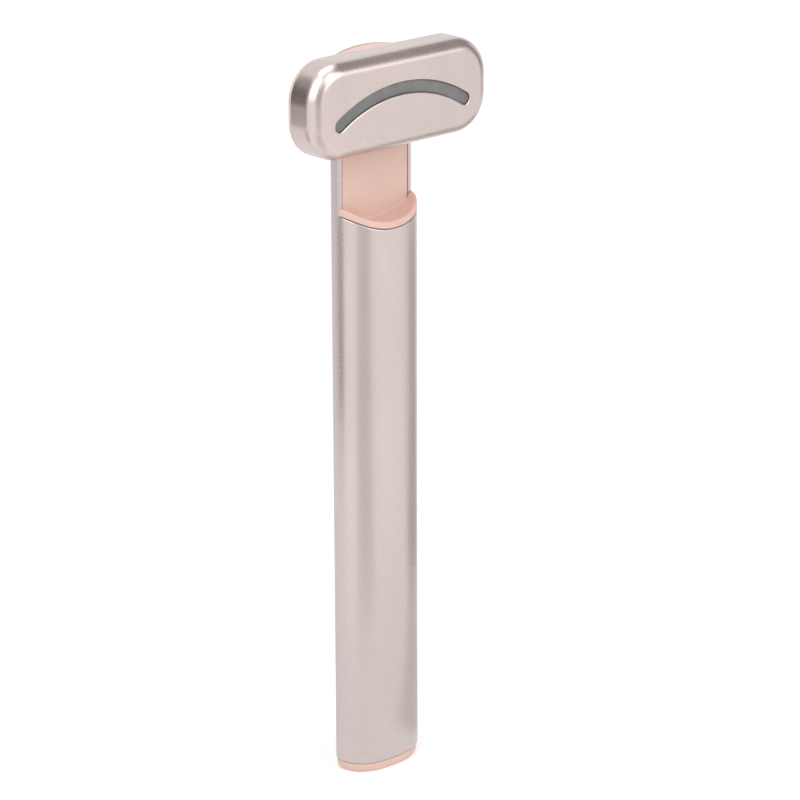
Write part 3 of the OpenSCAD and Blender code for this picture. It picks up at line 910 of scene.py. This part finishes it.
@dataclass
class Handle:
    """The metal tube with its slim neck, the plastic inlay on the neck's front, and the foot."""

    oval: Oval = field(default_factory=Oval)
    contacts: Contacts = field(default_factory=Contacts)
    wall: float = 1.0
    gap: float = 0.05
    seam: float = 0.1
    neck_y: float = 0.85
    apex: float = 157.5
    crown_r: float = 36.0
    neck_corner: float = 3.0
    scoop_r: float = 17.4
    scoop_z: float = 138.1
    shell_z: float = 2.0
    tuck: float = 0.25
    tuck_h: float = 1.0
    edge_round: float = 0.4
    # Shares of the rounding at the foot and at inner edges, and where outer edges begin
    foot_share: float = 0.25
    inner_share: float = 0.5
    outer_size: float = 0.97
    # Where the columns of points lie across a cut edge of the wall
    edge_strips: tuple[float, ...] = (0, 0.5, 0.75, 1)
    plain_z: float = 112.0
    # Rows of the tuck, of the plain tube, from there to the scoop, and on to the crown
    tuck_rows: int = 8
    plain_rows: int = 30
    scoop_rows: int = 12
    crown_rows: int = 30
    # Columns of the shell's front and back, of the foot's ring and of the panel's back
    columns: int = 132
    back_columns: int = 60
    foot_columns: int = 180
    panel_columns: int = 61
    # Inset and rise over the seam of the collar's rounded lower edge, and rows up its face
    collar_edge: tuple[tuple[float, float], ...] = ((0.3, 0.0), (0.07, 0.0), (0.02, 0.03), (0.0, 0.09))
    collar_face: tuple[float, float] = (0.5, 0.8)
    collar_sink: float = 0.03
    collar_back: float = 0.6
    rim_h: float = 1.5
    rim_flat: float = 0.6
    rim_slope: float = 0.9
    rim_round: float = 0.4
    ledge_drop: float = 0.25
    ledge_fillet: float = 0.5
    fillet_share: float = 0.6
    panel_gap: float = 0.13
    panel_chamfer: tuple[float, float] = (0.3, 0.12)
    panel_low: float = 116.0
    panel_rows: int = 46
    panel_top_points: int = 33
    # Loops that close the panel's top: the point they shrink to, and their shares of the way
    panel_middle: tuple[float, float] = (0.0, 2.3)
    panel_loops: tuple[float, ...] = (0, 0.03, 0.2, 0.5, 0.8)
    plug_raise: float = -3.0
    pivot_z: float = PIVOT_Z
    bore_r: float = 4.75
    pocket_r: float = 6.05
    web_y: float = 1.95
    pocket_y: float = 3.85
    cap_h: float = 1.9
    cap_round: float = 0.65
    cap_lip: float = 0.05
    plug_z: float = 8.9
    mouth_chamfer: float = 0.25
    mouth_row_z: float = 4.0
    socket_half: tuple[float, float] = (4.47, 1.63)

    def scoop(self, x: Array, rise: float) -> Array:
        """Height of the scoop at x: its centre less sqrt((radius - rise)^2 - x^2)."""
        return self.scoop_z - np.sqrt((self.scoop_r - rise) ** 2 - x**2)

    def crown(self, x: Array) -> Array:
        """Height of the neck's top at x.

        It is the large circle's height between the corners and a corner circle's beyond.

        Args:
            x: Distances across the neck.

        Returns:
            The heights.
        """
        x = np.abs(x)
        base = self.apex - self.crown_r
        corner_x = self.oval.half_width - self.neck_corner
        corner_z = base + math.sqrt((self.crown_r - self.neck_corner) ** 2 - corner_x**2)
        top = base + np.sqrt(self.crown_r**2 - x**2)
        corner = corner_z + np.sqrt(np.maximum(self.neck_corner**2 - (x - corner_x) ** 2, 0))
        touch = corner_x * self.crown_r / (self.crown_r - self.neck_corner)
        return np.where(x < touch, top, corner)

    def shell_sheets(self, inset: float) -> tuple[list[Array], list[Array], int]:
        """Front and back sheets of one side of the metal wall.

        The outer side starts drawn in by tuck * (1 - share)^2 over the tuck's height. Then
        heights run up the plain tube in even steps, and on to the scoop at the front and to
        the height of the scoop's ends and the crown at the back.

        Args:
            inset: 0 for the outer side and the wall for the inner side.

        Returns:
            Rows of the front, rows of the back, and the back row at the scoop's ends.
        """
        front = self.oval.front_arc(self.neck_y, inset, self.columns)
        back = self.oval.back_arc(self.neck_y, inset, self.back_columns)
        rim = self.scoop(front[:, 0], 0)
        front_rows, back_rows = [], []
        for share in np.linspace(0, 1, self.tuck_rows + 1)[:-1]:
            drawn = max(inset, self.tuck * (1 - share) ** 2)
            z = self.shell_z + self.tuck_h * share
            front_rows.append(lifted(self.oval.front_arc(self.neck_y, drawn, self.columns), z))
            back_rows.append(lifted(self.oval.back_arc(self.neck_y, drawn, self.back_columns), z))
        plain = np.linspace(self.shell_z + self.tuck_h, self.plain_z, self.plain_rows)
        shares = np.linspace(0, 1, self.scoop_rows + 1)[1:]
        for sheet, rows, top in ((front, front_rows, rim), (back, back_rows, rim[0])):
            rows += [lifted(sheet, z) for z in plain]
            rows += [lifted(sheet, self.plain_z + (top - self.plain_z) * share) for share in shares]
        split = len(back_rows) - 1
        rise = self.crown(back[:, 0]) - rim[0]
        shares = np.linspace(0, 1, self.crown_rows + 1)[1:]
        back_rows += [lifted(back, rim[0] + rise * share) for share in shares]
        return front_rows, back_rows, split

    def make_shell(self) -> bpy.types.Object:
        """The extruded shell: both sides of the wall, joined along every cut edge.

        Returns:
            The piece.
        """
        surface = Surface()
        front, back, split = self.shell_sheets(0)
        in_front, in_back, _ = self.shell_sheets(self.wall)
        for rows in (front, back, in_front, in_back):
            surface.grid(rows)
        sides = ((front, in_front), (back, in_back))
        edges = [(outer[end], inner[end]) for end in (0, -1) for outer, inner in sides]
        for end in (0, -1):
            edges.append([np.stack([row[end] for row in rows[split:]]) for rows in (back, in_back)])
        for outer, inner in edges:
            surface.grid(blend(outer, inner, self.edge_strips))
        shell = surface.make("shell_sleeve")
        soften(shell, self.edge_round, self.edge_share)
        return shell

    def edge_share(self, middle: Array) -> float:
        """Share of the rounding: full at outer edges, less at inner edges and least at the foot.

        An edge is an outer one where |x / a|^n + |(y - belly) / b|^n is near 1.

        Args:
            middle: Middle of the edge.

        Returns:
            The share.
        """
        if middle[2] < self.shell_z + self.tuck_h:
            return self.foot_share
        x, y = np.abs(middle[:2] - [0, self.oval.belly])
        reach = self.oval.front if middle[1] < self.oval.belly else self.oval.back
        size = (x / self.oval.half_width) ** self.oval.fullness + (y / reach) ** self.oval.fullness
        return 1.0 if size > self.outer_size else self.inner_share

    def collar_rows(self) -> list[Array]:
        """Rows of the collar at the neck's foot, from under its outer edge and all round.

        A row on the outline keeps an inset and a raise over the scoop. Over the ledge the
        rows run straight back to the panel, and the fillet turns up into it.

        Returns:
            The rows, the last of which joins the first.
        """
        cut_y = self.neck_y - self.collar_sink
        profile = [(self.wall + self.gap, self.seam)]
        profile += [(inset, self.seam + rise) for inset, rise in self.collar_edge]
        profile += [(0.0, rise) for rise in self.collar_face]
        profile += [(self.rim_round * inward, self.rim_h - self.rim_round * down)
                    for inward, down in quarter(7)]
        for share in np.linspace(0, 1, 9):
            drop = self.ledge_drop * (1 - math.cos(math.pi * share)) / 2
            profile.append((self.rim_flat + self.rim_slope * share, self.rim_h - drop))
        rows = []
        for inset, rise in profile:
            arc = self.oval.front_arc(cut_y, inset, self.columns)
            rows.append(lifted(arc, self.scoop(arc[:, 0], rise)))
        x, y, z = rows[-1].T
        fillet = np.minimum(self.ledge_fillet, self.fillet_share * (self.neck_y - y))
        for share in np.linspace(0, 1, 9)[1:]:
            rows.append(np.stack([x, y + (self.neck_y - fillet - y) * share, z], -1))
        for up, short in quarter(8, 1):
            rows.append(np.stack([x, self.neck_y - fillet * short, z + fillet * up], -1))
        behind = np.full(len(x), self.neck_y + self.collar_back)
        for height in (rows[-1][:, 2], self.scoop(x, self.plug_raise)):
            rows.append(np.stack([x, behind, height], -1))
        under = self.oval.front_arc(cut_y, self.wall + self.gap, self.columns)
        rows.append(lifted(under, self.scoop(under[:, 0], self.plug_raise)))
        return rows

    def add_panel(self, surface: Surface) -> None:
        """Adds the neck's filling: a D-shaped column under the crown, with the swivel's bore.

        The front face lies between the bore's circle and a loop of the face's own border,
        joined point to point along rays. The wall follows the metal's inner outline, and
        the top closes over the crown in shrinking loops.

        Args:
            surface: The surface that takes the grids.
        """
        width, depth = self.panel_chamfer
        arc = self.oval.back_arc(self.neck_y + depth, self.wall + self.panel_gap, self.panel_columns)
        flat = arc[0, 0] - width
        start = math.atan((self.panel_low - self.pivot_z) / flat)
        stop = math.atan((self.crown(np.array([flat]))[0] - self.pivot_z) / flat)
        heights = self.pivot_z + flat * np.tan(np.linspace(start, stop, self.panel_rows))
        shares = (heights - self.panel_low) / (heights[-1] - self.panel_low)
        wall = np.concatenate([[[flat, self.neck_y]], arc, [[-flat, self.neck_y]]])
        rise = self.crown(wall[:, 0]) - self.panel_low
        surface.grid([lifted(wall, self.panel_low + rise * share) for share in shares])
        side = np.stack([np.full(len(heights), flat), heights], -1)
        across = np.linspace(flat, -flat, self.panel_top_points)[1:-1]
        top = np.stack([across, self.crown(across)], -1)
        bottom = np.stack([-across, np.full(len(across), self.panel_low)], -1)
        border = np.concatenate([side, top, (side * [-1, 1])[::-1], bottom])
        circle = unit(polar(border - [0, self.pivot_z]))
        steps = [(self.pocket_r, self.pocket_y), (self.pocket_r, self.web_y),
                 (self.bore_r, self.web_y), (self.bore_r, self.neck_y)]
        rows = [raised(circle * radius, y, self.pivot_z) for radius, y in steps]
        surface.lid(rows[0])
        rows += blend(rows[-1], raised(border, self.neck_y, 0.0), np.linspace(0, 1, 9)[1:])
        surface.grid(rows, ring=True)
        face = np.stack([-across, np.full(len(across), self.neck_y)], -1)
        loop = np.concatenate([wall, face])
        caps = blend(loop, np.array(self.panel_middle), self.panel_loops)
        rows = [lifted(cap, self.crown(cap[:, 0])) for cap in caps]
        surface.grid(rows, ring=True)
        surface.lid(rows[-1])
        surface.lid(lifted(loop, self.panel_low))

    def make_inlay(self) -> bpy.types.Object:
        """The moulding on the neck: the collar with its rim and ledge, and the panel.

        Returns:
            The piece.
        """
        rows = self.collar_rows()
        surface = Surface().grid(rows, closed=True)
        for side in (0, -1):
            surface.lid(np.stack([row[side] for row in rows]))
        self.add_panel(surface)
        return surface.make("neck_panel")

    def mouth(self, grow: float, rays: Array) -> Array:
        """The socket's mouth: a stadium, whose ends are half circles round (half, 0) and (-half, 0).

        Args:
            grow: How much wider than the socket it is on every side.
            rays: Polar angles at which its points lie.

        Returns:
            Points as (len(rays), 2).
        """
        half, radius = self.socket_half[0] - self.socket_half[1], self.socket_half[1] + grow
        end = unit(np.linspace(-QUARTER, QUARTER, 61)) * radius + [half, 0]
        line = np.linspace(half, -half, 121)[1:-1]
        edge = np.stack([line, np.full(len(line), radius)], -1)
        return at_polar(np.concatenate([end, edge, -end, -edge]), rays)

    def make_foot(self) -> bpy.types.Object:
        """The end cap from the socket's mouth over the underside and the rounded side to the plug.

        The side is a quarter of an ellipse: it is drawn in by tuck + round * (1 - sin a) at
        height side * (1 - cos a).

        Returns:
            The piece.
        """
        def ring(inset: float, z: float) -> Array:
            """The handle's outline drawn in by inset, at height z."""
            return lifted(self.oval.whole(inset, self.foot_columns), z)

        rays = polar(self.oval.whole(0, self.foot_columns))
        heights = (self.plug_z, self.mouth_row_z, self.mouth_chamfer)
        rows = [lifted(self.mouth(self.gap, rays), z) for z in heights]
        rows.append(lifted(self.mouth(self.gap + self.mouth_chamfer, rays), 0))
        outer = ring(self.tuck + self.cap_round, 0)
        rows += blend(rows[-1], outer, np.linspace(0, 1, 7)[1:-1])
        side = self.cap_h - self.cap_lip
        rows += [ring(self.tuck + self.cap_round * inward, side * up) for up, inward in quarter(15)]
        rows += [ring(self.tuck + self.cap_lip * inward, self.cap_h - self.cap_lip * down)
                 for inward, down in quarter(4, 1)]
        rows += [ring(self.wall + self.gap, z) for z in (self.cap_h, self.plug_z)]
        return Surface().grid(rows, ring=True, closed=True).make("foot_cap")

    def build(self, wardrobe: Wardrobe) -> None:
        """Makes and dresses the handle's pieces.

        Args:
            wardrobe: Where the finishes come from.
        """
        wardrobe.dress(self.make_shell(), Slot.SATIN_METAL, Body.HANDLE, "handle_shell")
        wardrobe.dress(self.make_inlay(), Slot.PEACH_PLASTIC, Body.HANDLE, "neck_inlay")
        wardrobe.dress(self.make_foot(), Slot.PEACH_PLASTIC, Body.HANDLE, "end_cap")
        wardrobe.dress(self.contacts.make(), Slot.BRASS, Body.HANDLE)


# ------------------------------------------------------------------ head


@dataclass
class Head:
    """The head: a metal cover with its light window and lens, on a plastic base plate."""

    width: float = 48.0
    height: float = 20.0
    corner: float = 8.0
    edge: float = 3.0
    wall: float = 1.0
    centre: float = PIVOT_Z
    front_y: float = -7.85
    base_front: float = -0.75
    base_back: float = 0.4
    base_edge: float = 0.9
    seam: float = 0.05
    lip: float = 0.24
    rim_round: float = 0.12
    bore_chamfer: float = 0.15
    # Inset and depth from the edge of small roundings on the base and on the lens
    base_lip: tuple[tuple[float, float], ...] = ((0.0, 0.08), (0.02, 0.02), (0.08, 0.0))
    lens_edge: tuple[tuple[float, float], ...] = ((0.0, 0.06), (0.02, 0.02), (0.06, 0.0))
    lens_seat: float = 0.01
    # Where the rows lie from the window to the front's edge, and from the bore to the back's edge
    face_rows: tuple[float, ...] = (0.04, 0.2, 0.4, 0.6, 0.8, 0.95)
    back_rows: tuple[float, ...] = (0.05, 0.25, 0.5, 0.75, 0.95)
    spigot_y: float = -2.95
    spigot_wall: float = 1.0
    boss_y: float = -1.95
    boss_r: float = 6.4
    hub_r: float = 3.75
    lens_sink: float = 0.4
    lens_back: float = -6.25
    lens_lip: float = 0.6
    gap: float = 0.05
    steps: RingSteps = field(default_factory=RingSteps)
    bow: Bow = field(default_factory=Bow)

    @property
    def plate(self) -> Skeleton:
        """Skeleton of the head's outline."""
        return rounded_plate(self.width, self.height, self.corner, self.steps)

    def plate_row(self, inset: float, y: float) -> Array:
        """The head's outline drawn in by inset, standing at depth y."""
        return raised(self.plate.at(self.corner - inset), y, self.centre)

    def bow_row(self, grow: float, y: float) -> Array:
        """The window's outline widened by grow, standing at depth y."""
        return raised(self.bow.skeleton(self.steps).at(self.bow.band / 2 + grow), y, self.centre)

    def make_cover(self) -> bpy.types.Object:
        """The pressed cover as one ring of rows.

        The rows run out of the window, over its rounded lip, across the flat face, round
        the front edge, back along the sides, in over the rear rim and forward again inside.

        Returns:
            The piece.
        """
        front, inside = self.front_y, self.front_y + self.wall
        back, side = self.base_front - self.seam, self.front_y + self.edge
        rows = [self.bow_row(0, inside), self.bow_row(0, front + self.lip)]
        rows += [self.bow_row(self.lip * out, front + self.lip * deep) for out, deep in quarter(5, 1)]
        rows += blend(rows[-1], self.plate_row(self.edge, front), self.face_rows)
        rows += [self.plate_row(self.edge * inward, front + self.edge * deep)
                 for deep, inward in quarter(19)]
        rows += [self.plate_row(0, y) for y in np.linspace(side, back - self.rim_round, 5)[1:]]
        rows += [self.plate_row(self.rim_round * inward, back - self.rim_round * deep)
                 for inward, deep in quarter(4, 1)]
        rows += [self.plate_row(self.wall, y) for y in (back, side)]
        bend = self.edge - self.wall
        rows += [self.plate_row(self.wall + bend * inward, inside + bend * deep)
                 for inward, deep in quarter(7, 1)]
        rows += blend(rows[-1], rows[0], (0.35, 0.7))
        return Surface().grid(rows, ring=True, closed=True).make("face_cover")

    def make_base(self) -> bpy.types.Object:
        """The base plate as one ring of rows, from the hub's bore over the back to the spigot.

        Returns:
            The piece.
        """
        circle = unit(polar(self.plate.at(self.corner)))
        hole = [(self.hub_r, self.boss_y), (self.hub_r, self.base_back - self.bore_chamfer),
                (self.hub_r + self.bore_chamfer, self.base_back)]
        rows = [raised(circle * radius, y, self.centre) for radius, y in hole]
        rim = self.plate_row(self.base_edge, self.base_back)
        rows += blend(rows[-1], rim, self.back_rows)
        rows += [self.plate_row(self.base_edge * inward, self.base_back - self.base_edge * deep)
                 for deep, inward in quarter(9)]
        inset = self.wall + self.gap
        sides = [(inward, self.base_front + deep) for inward, deep in self.base_lip]
        sides += [(inset, self.base_front), (inset, self.spigot_y)]
        sides += [(inset + self.spigot_wall, y) for y in (self.spigot_y, self.base_front)]
        rows += [self.plate_row(inward, y) for inward, y in sides]
        foot = raised(circle * self.boss_r, self.base_front, self.centre)
        rows += blend(rows[-1], foot, (0.5, 1))
        rows.append(raised(circle * self.boss_r, self.boss_y, self.centre))
        return Surface().grid(rows, ring=True, closed=True).make("head_back")

    def make_lens(self) -> bpy.types.Object:
        """The smoky lens: it fills the window a little below the face, with a lip behind.

        Its front and back close where the two sides of the bow meet on its middle line.

        Returns:
            The piece.
        """
        front, half = self.front_y + self.lens_sink, self.bow.band / 2
        seat = self.front_y + self.wall + self.lens_seat
        profile = [(grow, self.lens_back) for grow in (-half, -half / 2, self.lens_lip)]
        profile += [(self.lens_lip, seat), (-self.gap, seat)]
        profile += [(-self.gap - inset, front + deep) for inset, deep in self.lens_edge]
        profile += [(grow, front) for grow in (-half / 2, -half)]
        rows = [self.bow_row(grow, y) for grow, y in profile]
        return Surface().grid(rows, ring=True).make("window_lens")

    def build(self, wardrobe: Wardrobe) -> None:
        """Makes and dresses the head's pieces.

        Args:
            wardrobe: Where the finishes come from.
        """
        wardrobe.dress(self.make_cover(), Slot.COVER_METAL, Body.HEAD, "head_cover")
        wardrobe.dress(self.make_base(), Slot.BASE_PLASTIC, Body.HEAD, "head_base")
        wardrobe.dress(self.make_lens(), Slot.SMOKY_LENS, Body.HEAD, "light_lens")


# ------------------------------------------------------------------ studio


# How far a card's sides lean in, as a share of its width, and the warm tone of its paper
CARD_BOW = 0.4
CARD_TONE: Colour = (1.0, 0.97, 0.95)


def direction(azimuth: float, elevation: float) -> Array:
    """Unit vector from the object towards a place seen at an azimuth and an elevation.

    It is (sin a cos e, -cos a cos e, sin e), so azimuth 0 is in front of the head.

    Args:
        azimuth: Angle round the object in degrees.
        elevation: Angle over the horizon in degrees.

    Returns:
        The vector.
    """
    a, e = math.radians(azimuth), math.radians(elevation)
    return np.array([math.sin(a) * math.cos(e), -math.cos(a) * math.cos(e), math.sin(e)])


@dataclass
class Viewpoint:
    """The photograph's viewpoint, with its lengths in millimetres and its angles in degrees."""

    azimuth: float = -42.431
    elevation: float = 19.010
    distance: float = 692.6
    focal: float = 148.568
    roll: float = -0.167
    aside: float = 6.11
    target: tuple[float, float, float] = (0.0, 2.65, 81.577)
    sensor: float = 36.0
    clip: tuple[float, float] = (0.01, 20.0)

    def build(self) -> None:
        """Makes the camera and gives it to the scene."""
        back = direction(self.azimuth, self.elevation)
        level = direction(self.azimuth + 90, 0)
        upright = np.cross(back, level)
        cos, sin = math.cos(math.radians(self.roll)), math.sin(math.radians(self.roll))
        right = cos * level + sin * upright
        up = cos * upright - sin * level
        place = np.array(self.target) + level * self.aside + back * self.distance
        data = bpy.data.cameras.new("camera")
        data.lens, data.sensor_width = self.focal, self.sensor
        data.clip_start, data.clip_end = self.clip
        camera = bpy.data.objects.new("camera", data)
        axes = Matrix(np.stack([right, up, back], 1).tolist()).to_4x4()
        camera.matrix_world = Matrix.Translation(Vector(place * MM)) @ axes
        bpy.context.scene.collection.objects.link(camera)
        bpy.context.scene.camera = camera


@dataclass(frozen=True)
class Panel:
    """A rectangle that faces the wand, with angles in degrees and lengths in metres."""

    name: str
    azimuth: float
    elevation: float
    distance: float
    width: float
    height: float
    level: float


class Softbox(Panel):
    """A soft rectangular lamp, as bright as level times white."""

    def build(self, aim: Array) -> None:
        """Makes the lamp.

        Args:
            aim: The point it faces, in metres.
        """
        data = bpy.data.lights.new(self.name, "AREA")
        data.shape = "RECTANGLE"
        data.size, data.size_y = self.width, self.height
        data.energy = self.level * math.pi * self.width * self.height
        lamp = bpy.data.objects.new(self.name, data)
        towards = direction(self.azimuth, self.elevation)
        lamp.location = aim + towards * self.distance
        lamp.rotation_euler = Vector(towards).to_track_quat("Z", "Y").to_euler()
        bpy.context.scene.collection.objects.link(lamp)


class Flag(Panel):
    """A studio card of the shade level, which shows only in the metal's reflections."""

    def build(self, aim: Array) -> None:
        """Makes the card as a gently bowed sheet.

        Its points are the card's width and height laid off from its middle, square to the
        line of sight, and its sides lean in by the square of their distance.

        Args:
            aim: The point it faces, in metres.
        """
        out = direction(self.azimuth, self.elevation)
        level = direction(self.azimuth + 90, 0)
        up = np.cross(out, level)
        share = np.linspace(-0.5, 0.5, 13)
        sheet = np.outer(share, level) * self.width
        sheet -= np.outer(share**2, out) * self.width * CARD_BOW
        sheet += aim + out * self.distance
        rows = [(sheet + up * self.height * row) / MM for row in share]
        card = Surface().grid(rows).make(self.name)
        material = bpy.data.materials.new(self.name)
        material.use_nodes = True
        nodes = Tree(material.node_tree)
        nodes.tree.nodes.clear()
        colour = (*scaled(CARD_TONE, self.level), 1)
        emission = nodes.add("ShaderNodeEmission", {"Color": colour}).outputs[0]
        nodes.add("ShaderNodeOutputMaterial", {"Surface": emission})
        card.data.materials.append(material)
        card.visible_camera = card.visible_diffuse = card.visible_shadow = False
        card.visible_transmission = card.visible_volume_scatter = False
        card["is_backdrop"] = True


@dataclass
class Studio:
    """Pale floor, white surroundings, soft lamps and the flags that the metal mirrors."""

    floor_half: float = 3000.0
    floor_z: float = -0.1
    floor_colour: Colour = (0.86, 0.86, 0.86)
    floor_lift: float = 0.27
    floor_shine: float = 0.17
    paper: float = 40.0
    fade: tuple[float, float] = (450.0, 1500.0)
    sky: float = 0.5
    aim: tuple[float, float, float] = (0.0, 0.0, 0.09)
    softboxes: tuple[Softbox, ...] = (
        Softbox("left_softbox", -70, 37, 2.5, 2.4, 2.6, 1.45),
        Softbox("front_softbox", 20, 32, 2.5, 1.9, 2.4, 1.45),
        Softbox("top_softbox", 160, 84, 2.5, 1.8, 1.8, 1.45),
    )
    flags: tuple[Flag, ...] = (
        Flag("rear_left_flag", -135, 21.5, 0.177, 0.17, 0.11, 0.2),
        Flag("upper_rear_left_flag", -133, 38, 0.46, 0.36, 0.15, 0.4),
        Flag("camera_flag", -20, 14, 0.36, 0.24, 0.27, 0.6),
        Flag("right_flag", 70, 14, 0.37, 0.15, 0.24, 0.33),
        Flag("upper_right_flag", 72, 50, 0.36, 0.34, 0.24, 0.36),
        Flag("low_rear_left_flag", -114, -9.5, 0.122, 0.046, 0.055, 0.5),
        Flag("low_left_card", -83, -22, 0.12, 0.070, 0.09, 1.2),
        Flag("low_camera_flag", -27, -22, 0.12, 0.085, 0.09, 0.85),
        Flag("low_front_card", 28, -22, 0.12, 0.090, 0.09, 1.18),
        Flag("low_right_flag", 80, -22, 0.12, 0.070, 0.09, 0.62),
        Flag("foot_right_flag", 78, -63, 0.0894, 0.034, 0.05, 0.8),
    )

    def build_floor(self) -> None:
        """Lays the floor: a matt sheet that a little of its own light takes to white.

        The lift shows to the camera and the shine in reflections, so the floor keeps the
        wand's shadow and lights nothing. The lift grows to full white over the fade, with
        the distance from the wand, so that the floor's far edge melts into the surroundings.
        """
        share = np.linspace(-1, 1, 9) * self.floor_half
        rows = [np.stack([share, np.full(9, y), np.full(9, self.floor_z)], -1) for y in share]
        floor = Surface().grid(rows).make("studio_floor")
        nodes = Nodes("studio_floor")
        distance = nodes.add("ShaderNodeVectorMath", {0: nodes.place}, operation="LENGTH")
        lift = nodes.spread(distance.outputs["Value"], self.floor_lift, 1.0, *self.fade)
        nodes.set(
            Base_Color=nodes.clouded(nodes.noise(self.paper), self.floor_colour, 0.99),
            Roughness=0.9,
            Emission_Color=(1.0, 1.0, 1.0),
            Emission_Strength=nodes.seen(lift, self.floor_shine),
            Specular_IOR_Level=0.1,
        )
        floor.data.materials.append(nodes.material)
        floor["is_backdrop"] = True

    def build_world(self) -> None:
        """Surrounds the scene: white where it is seen, a plain soft level where it lights."""
        world = bpy.data.worlds.new("studio_surround")
        bpy.context.scene.world = world
        world.use_nodes = True
        nodes = Tree(world.node_tree)
        background = nodes.tree.nodes["Background"]
        background.inputs["Color"].default_value = (1, 1, 1, 1)
        level = nodes.math("ADD", nodes.seen(1 - self.sky, 1 - self.sky), self.sky)
        nodes.tree.links.new(level, background.inputs["Strength"])

    def build(self) -> None:
        """Makes the floor, the surroundings, the lamps and the flags."""
        bpy.context.scene.view_settings.view_transform = "Standard"
        self.build_floor()
        self.build_world()
        aim = np.array(self.aim)
        for item in (*self.softboxes, *self.flags):
            item.build(aim)
            LOG.info("%s: at azimuth %g, elevation %g", item.name, item.azimuth, item.elevation)


def write_sizes() -> None:
    """Gathers the CAD model's box and the finished model's box as plain lists, which are then dropped.
    """
    boxes = {"cad": CAD_BOX, "visual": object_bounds()}
    {name: [list(corner) for corner in box] for name, box in boxes.items()}


def main() -> None:
    """Builds the camera, the studio and the wand, in that order."""
    logging.basicConfig(level=logging.INFO, format="%(name)s: %(message)s")
    Viewpoint().build()
    Studio().build()
    wardrobe = Wardrobe()
    Handle().build(wardrobe)
    Head().build(wardrobe)
    wardrobe.dress_kept_nodes()
    write_sizes()


if __name__ == "__main__":
    main()
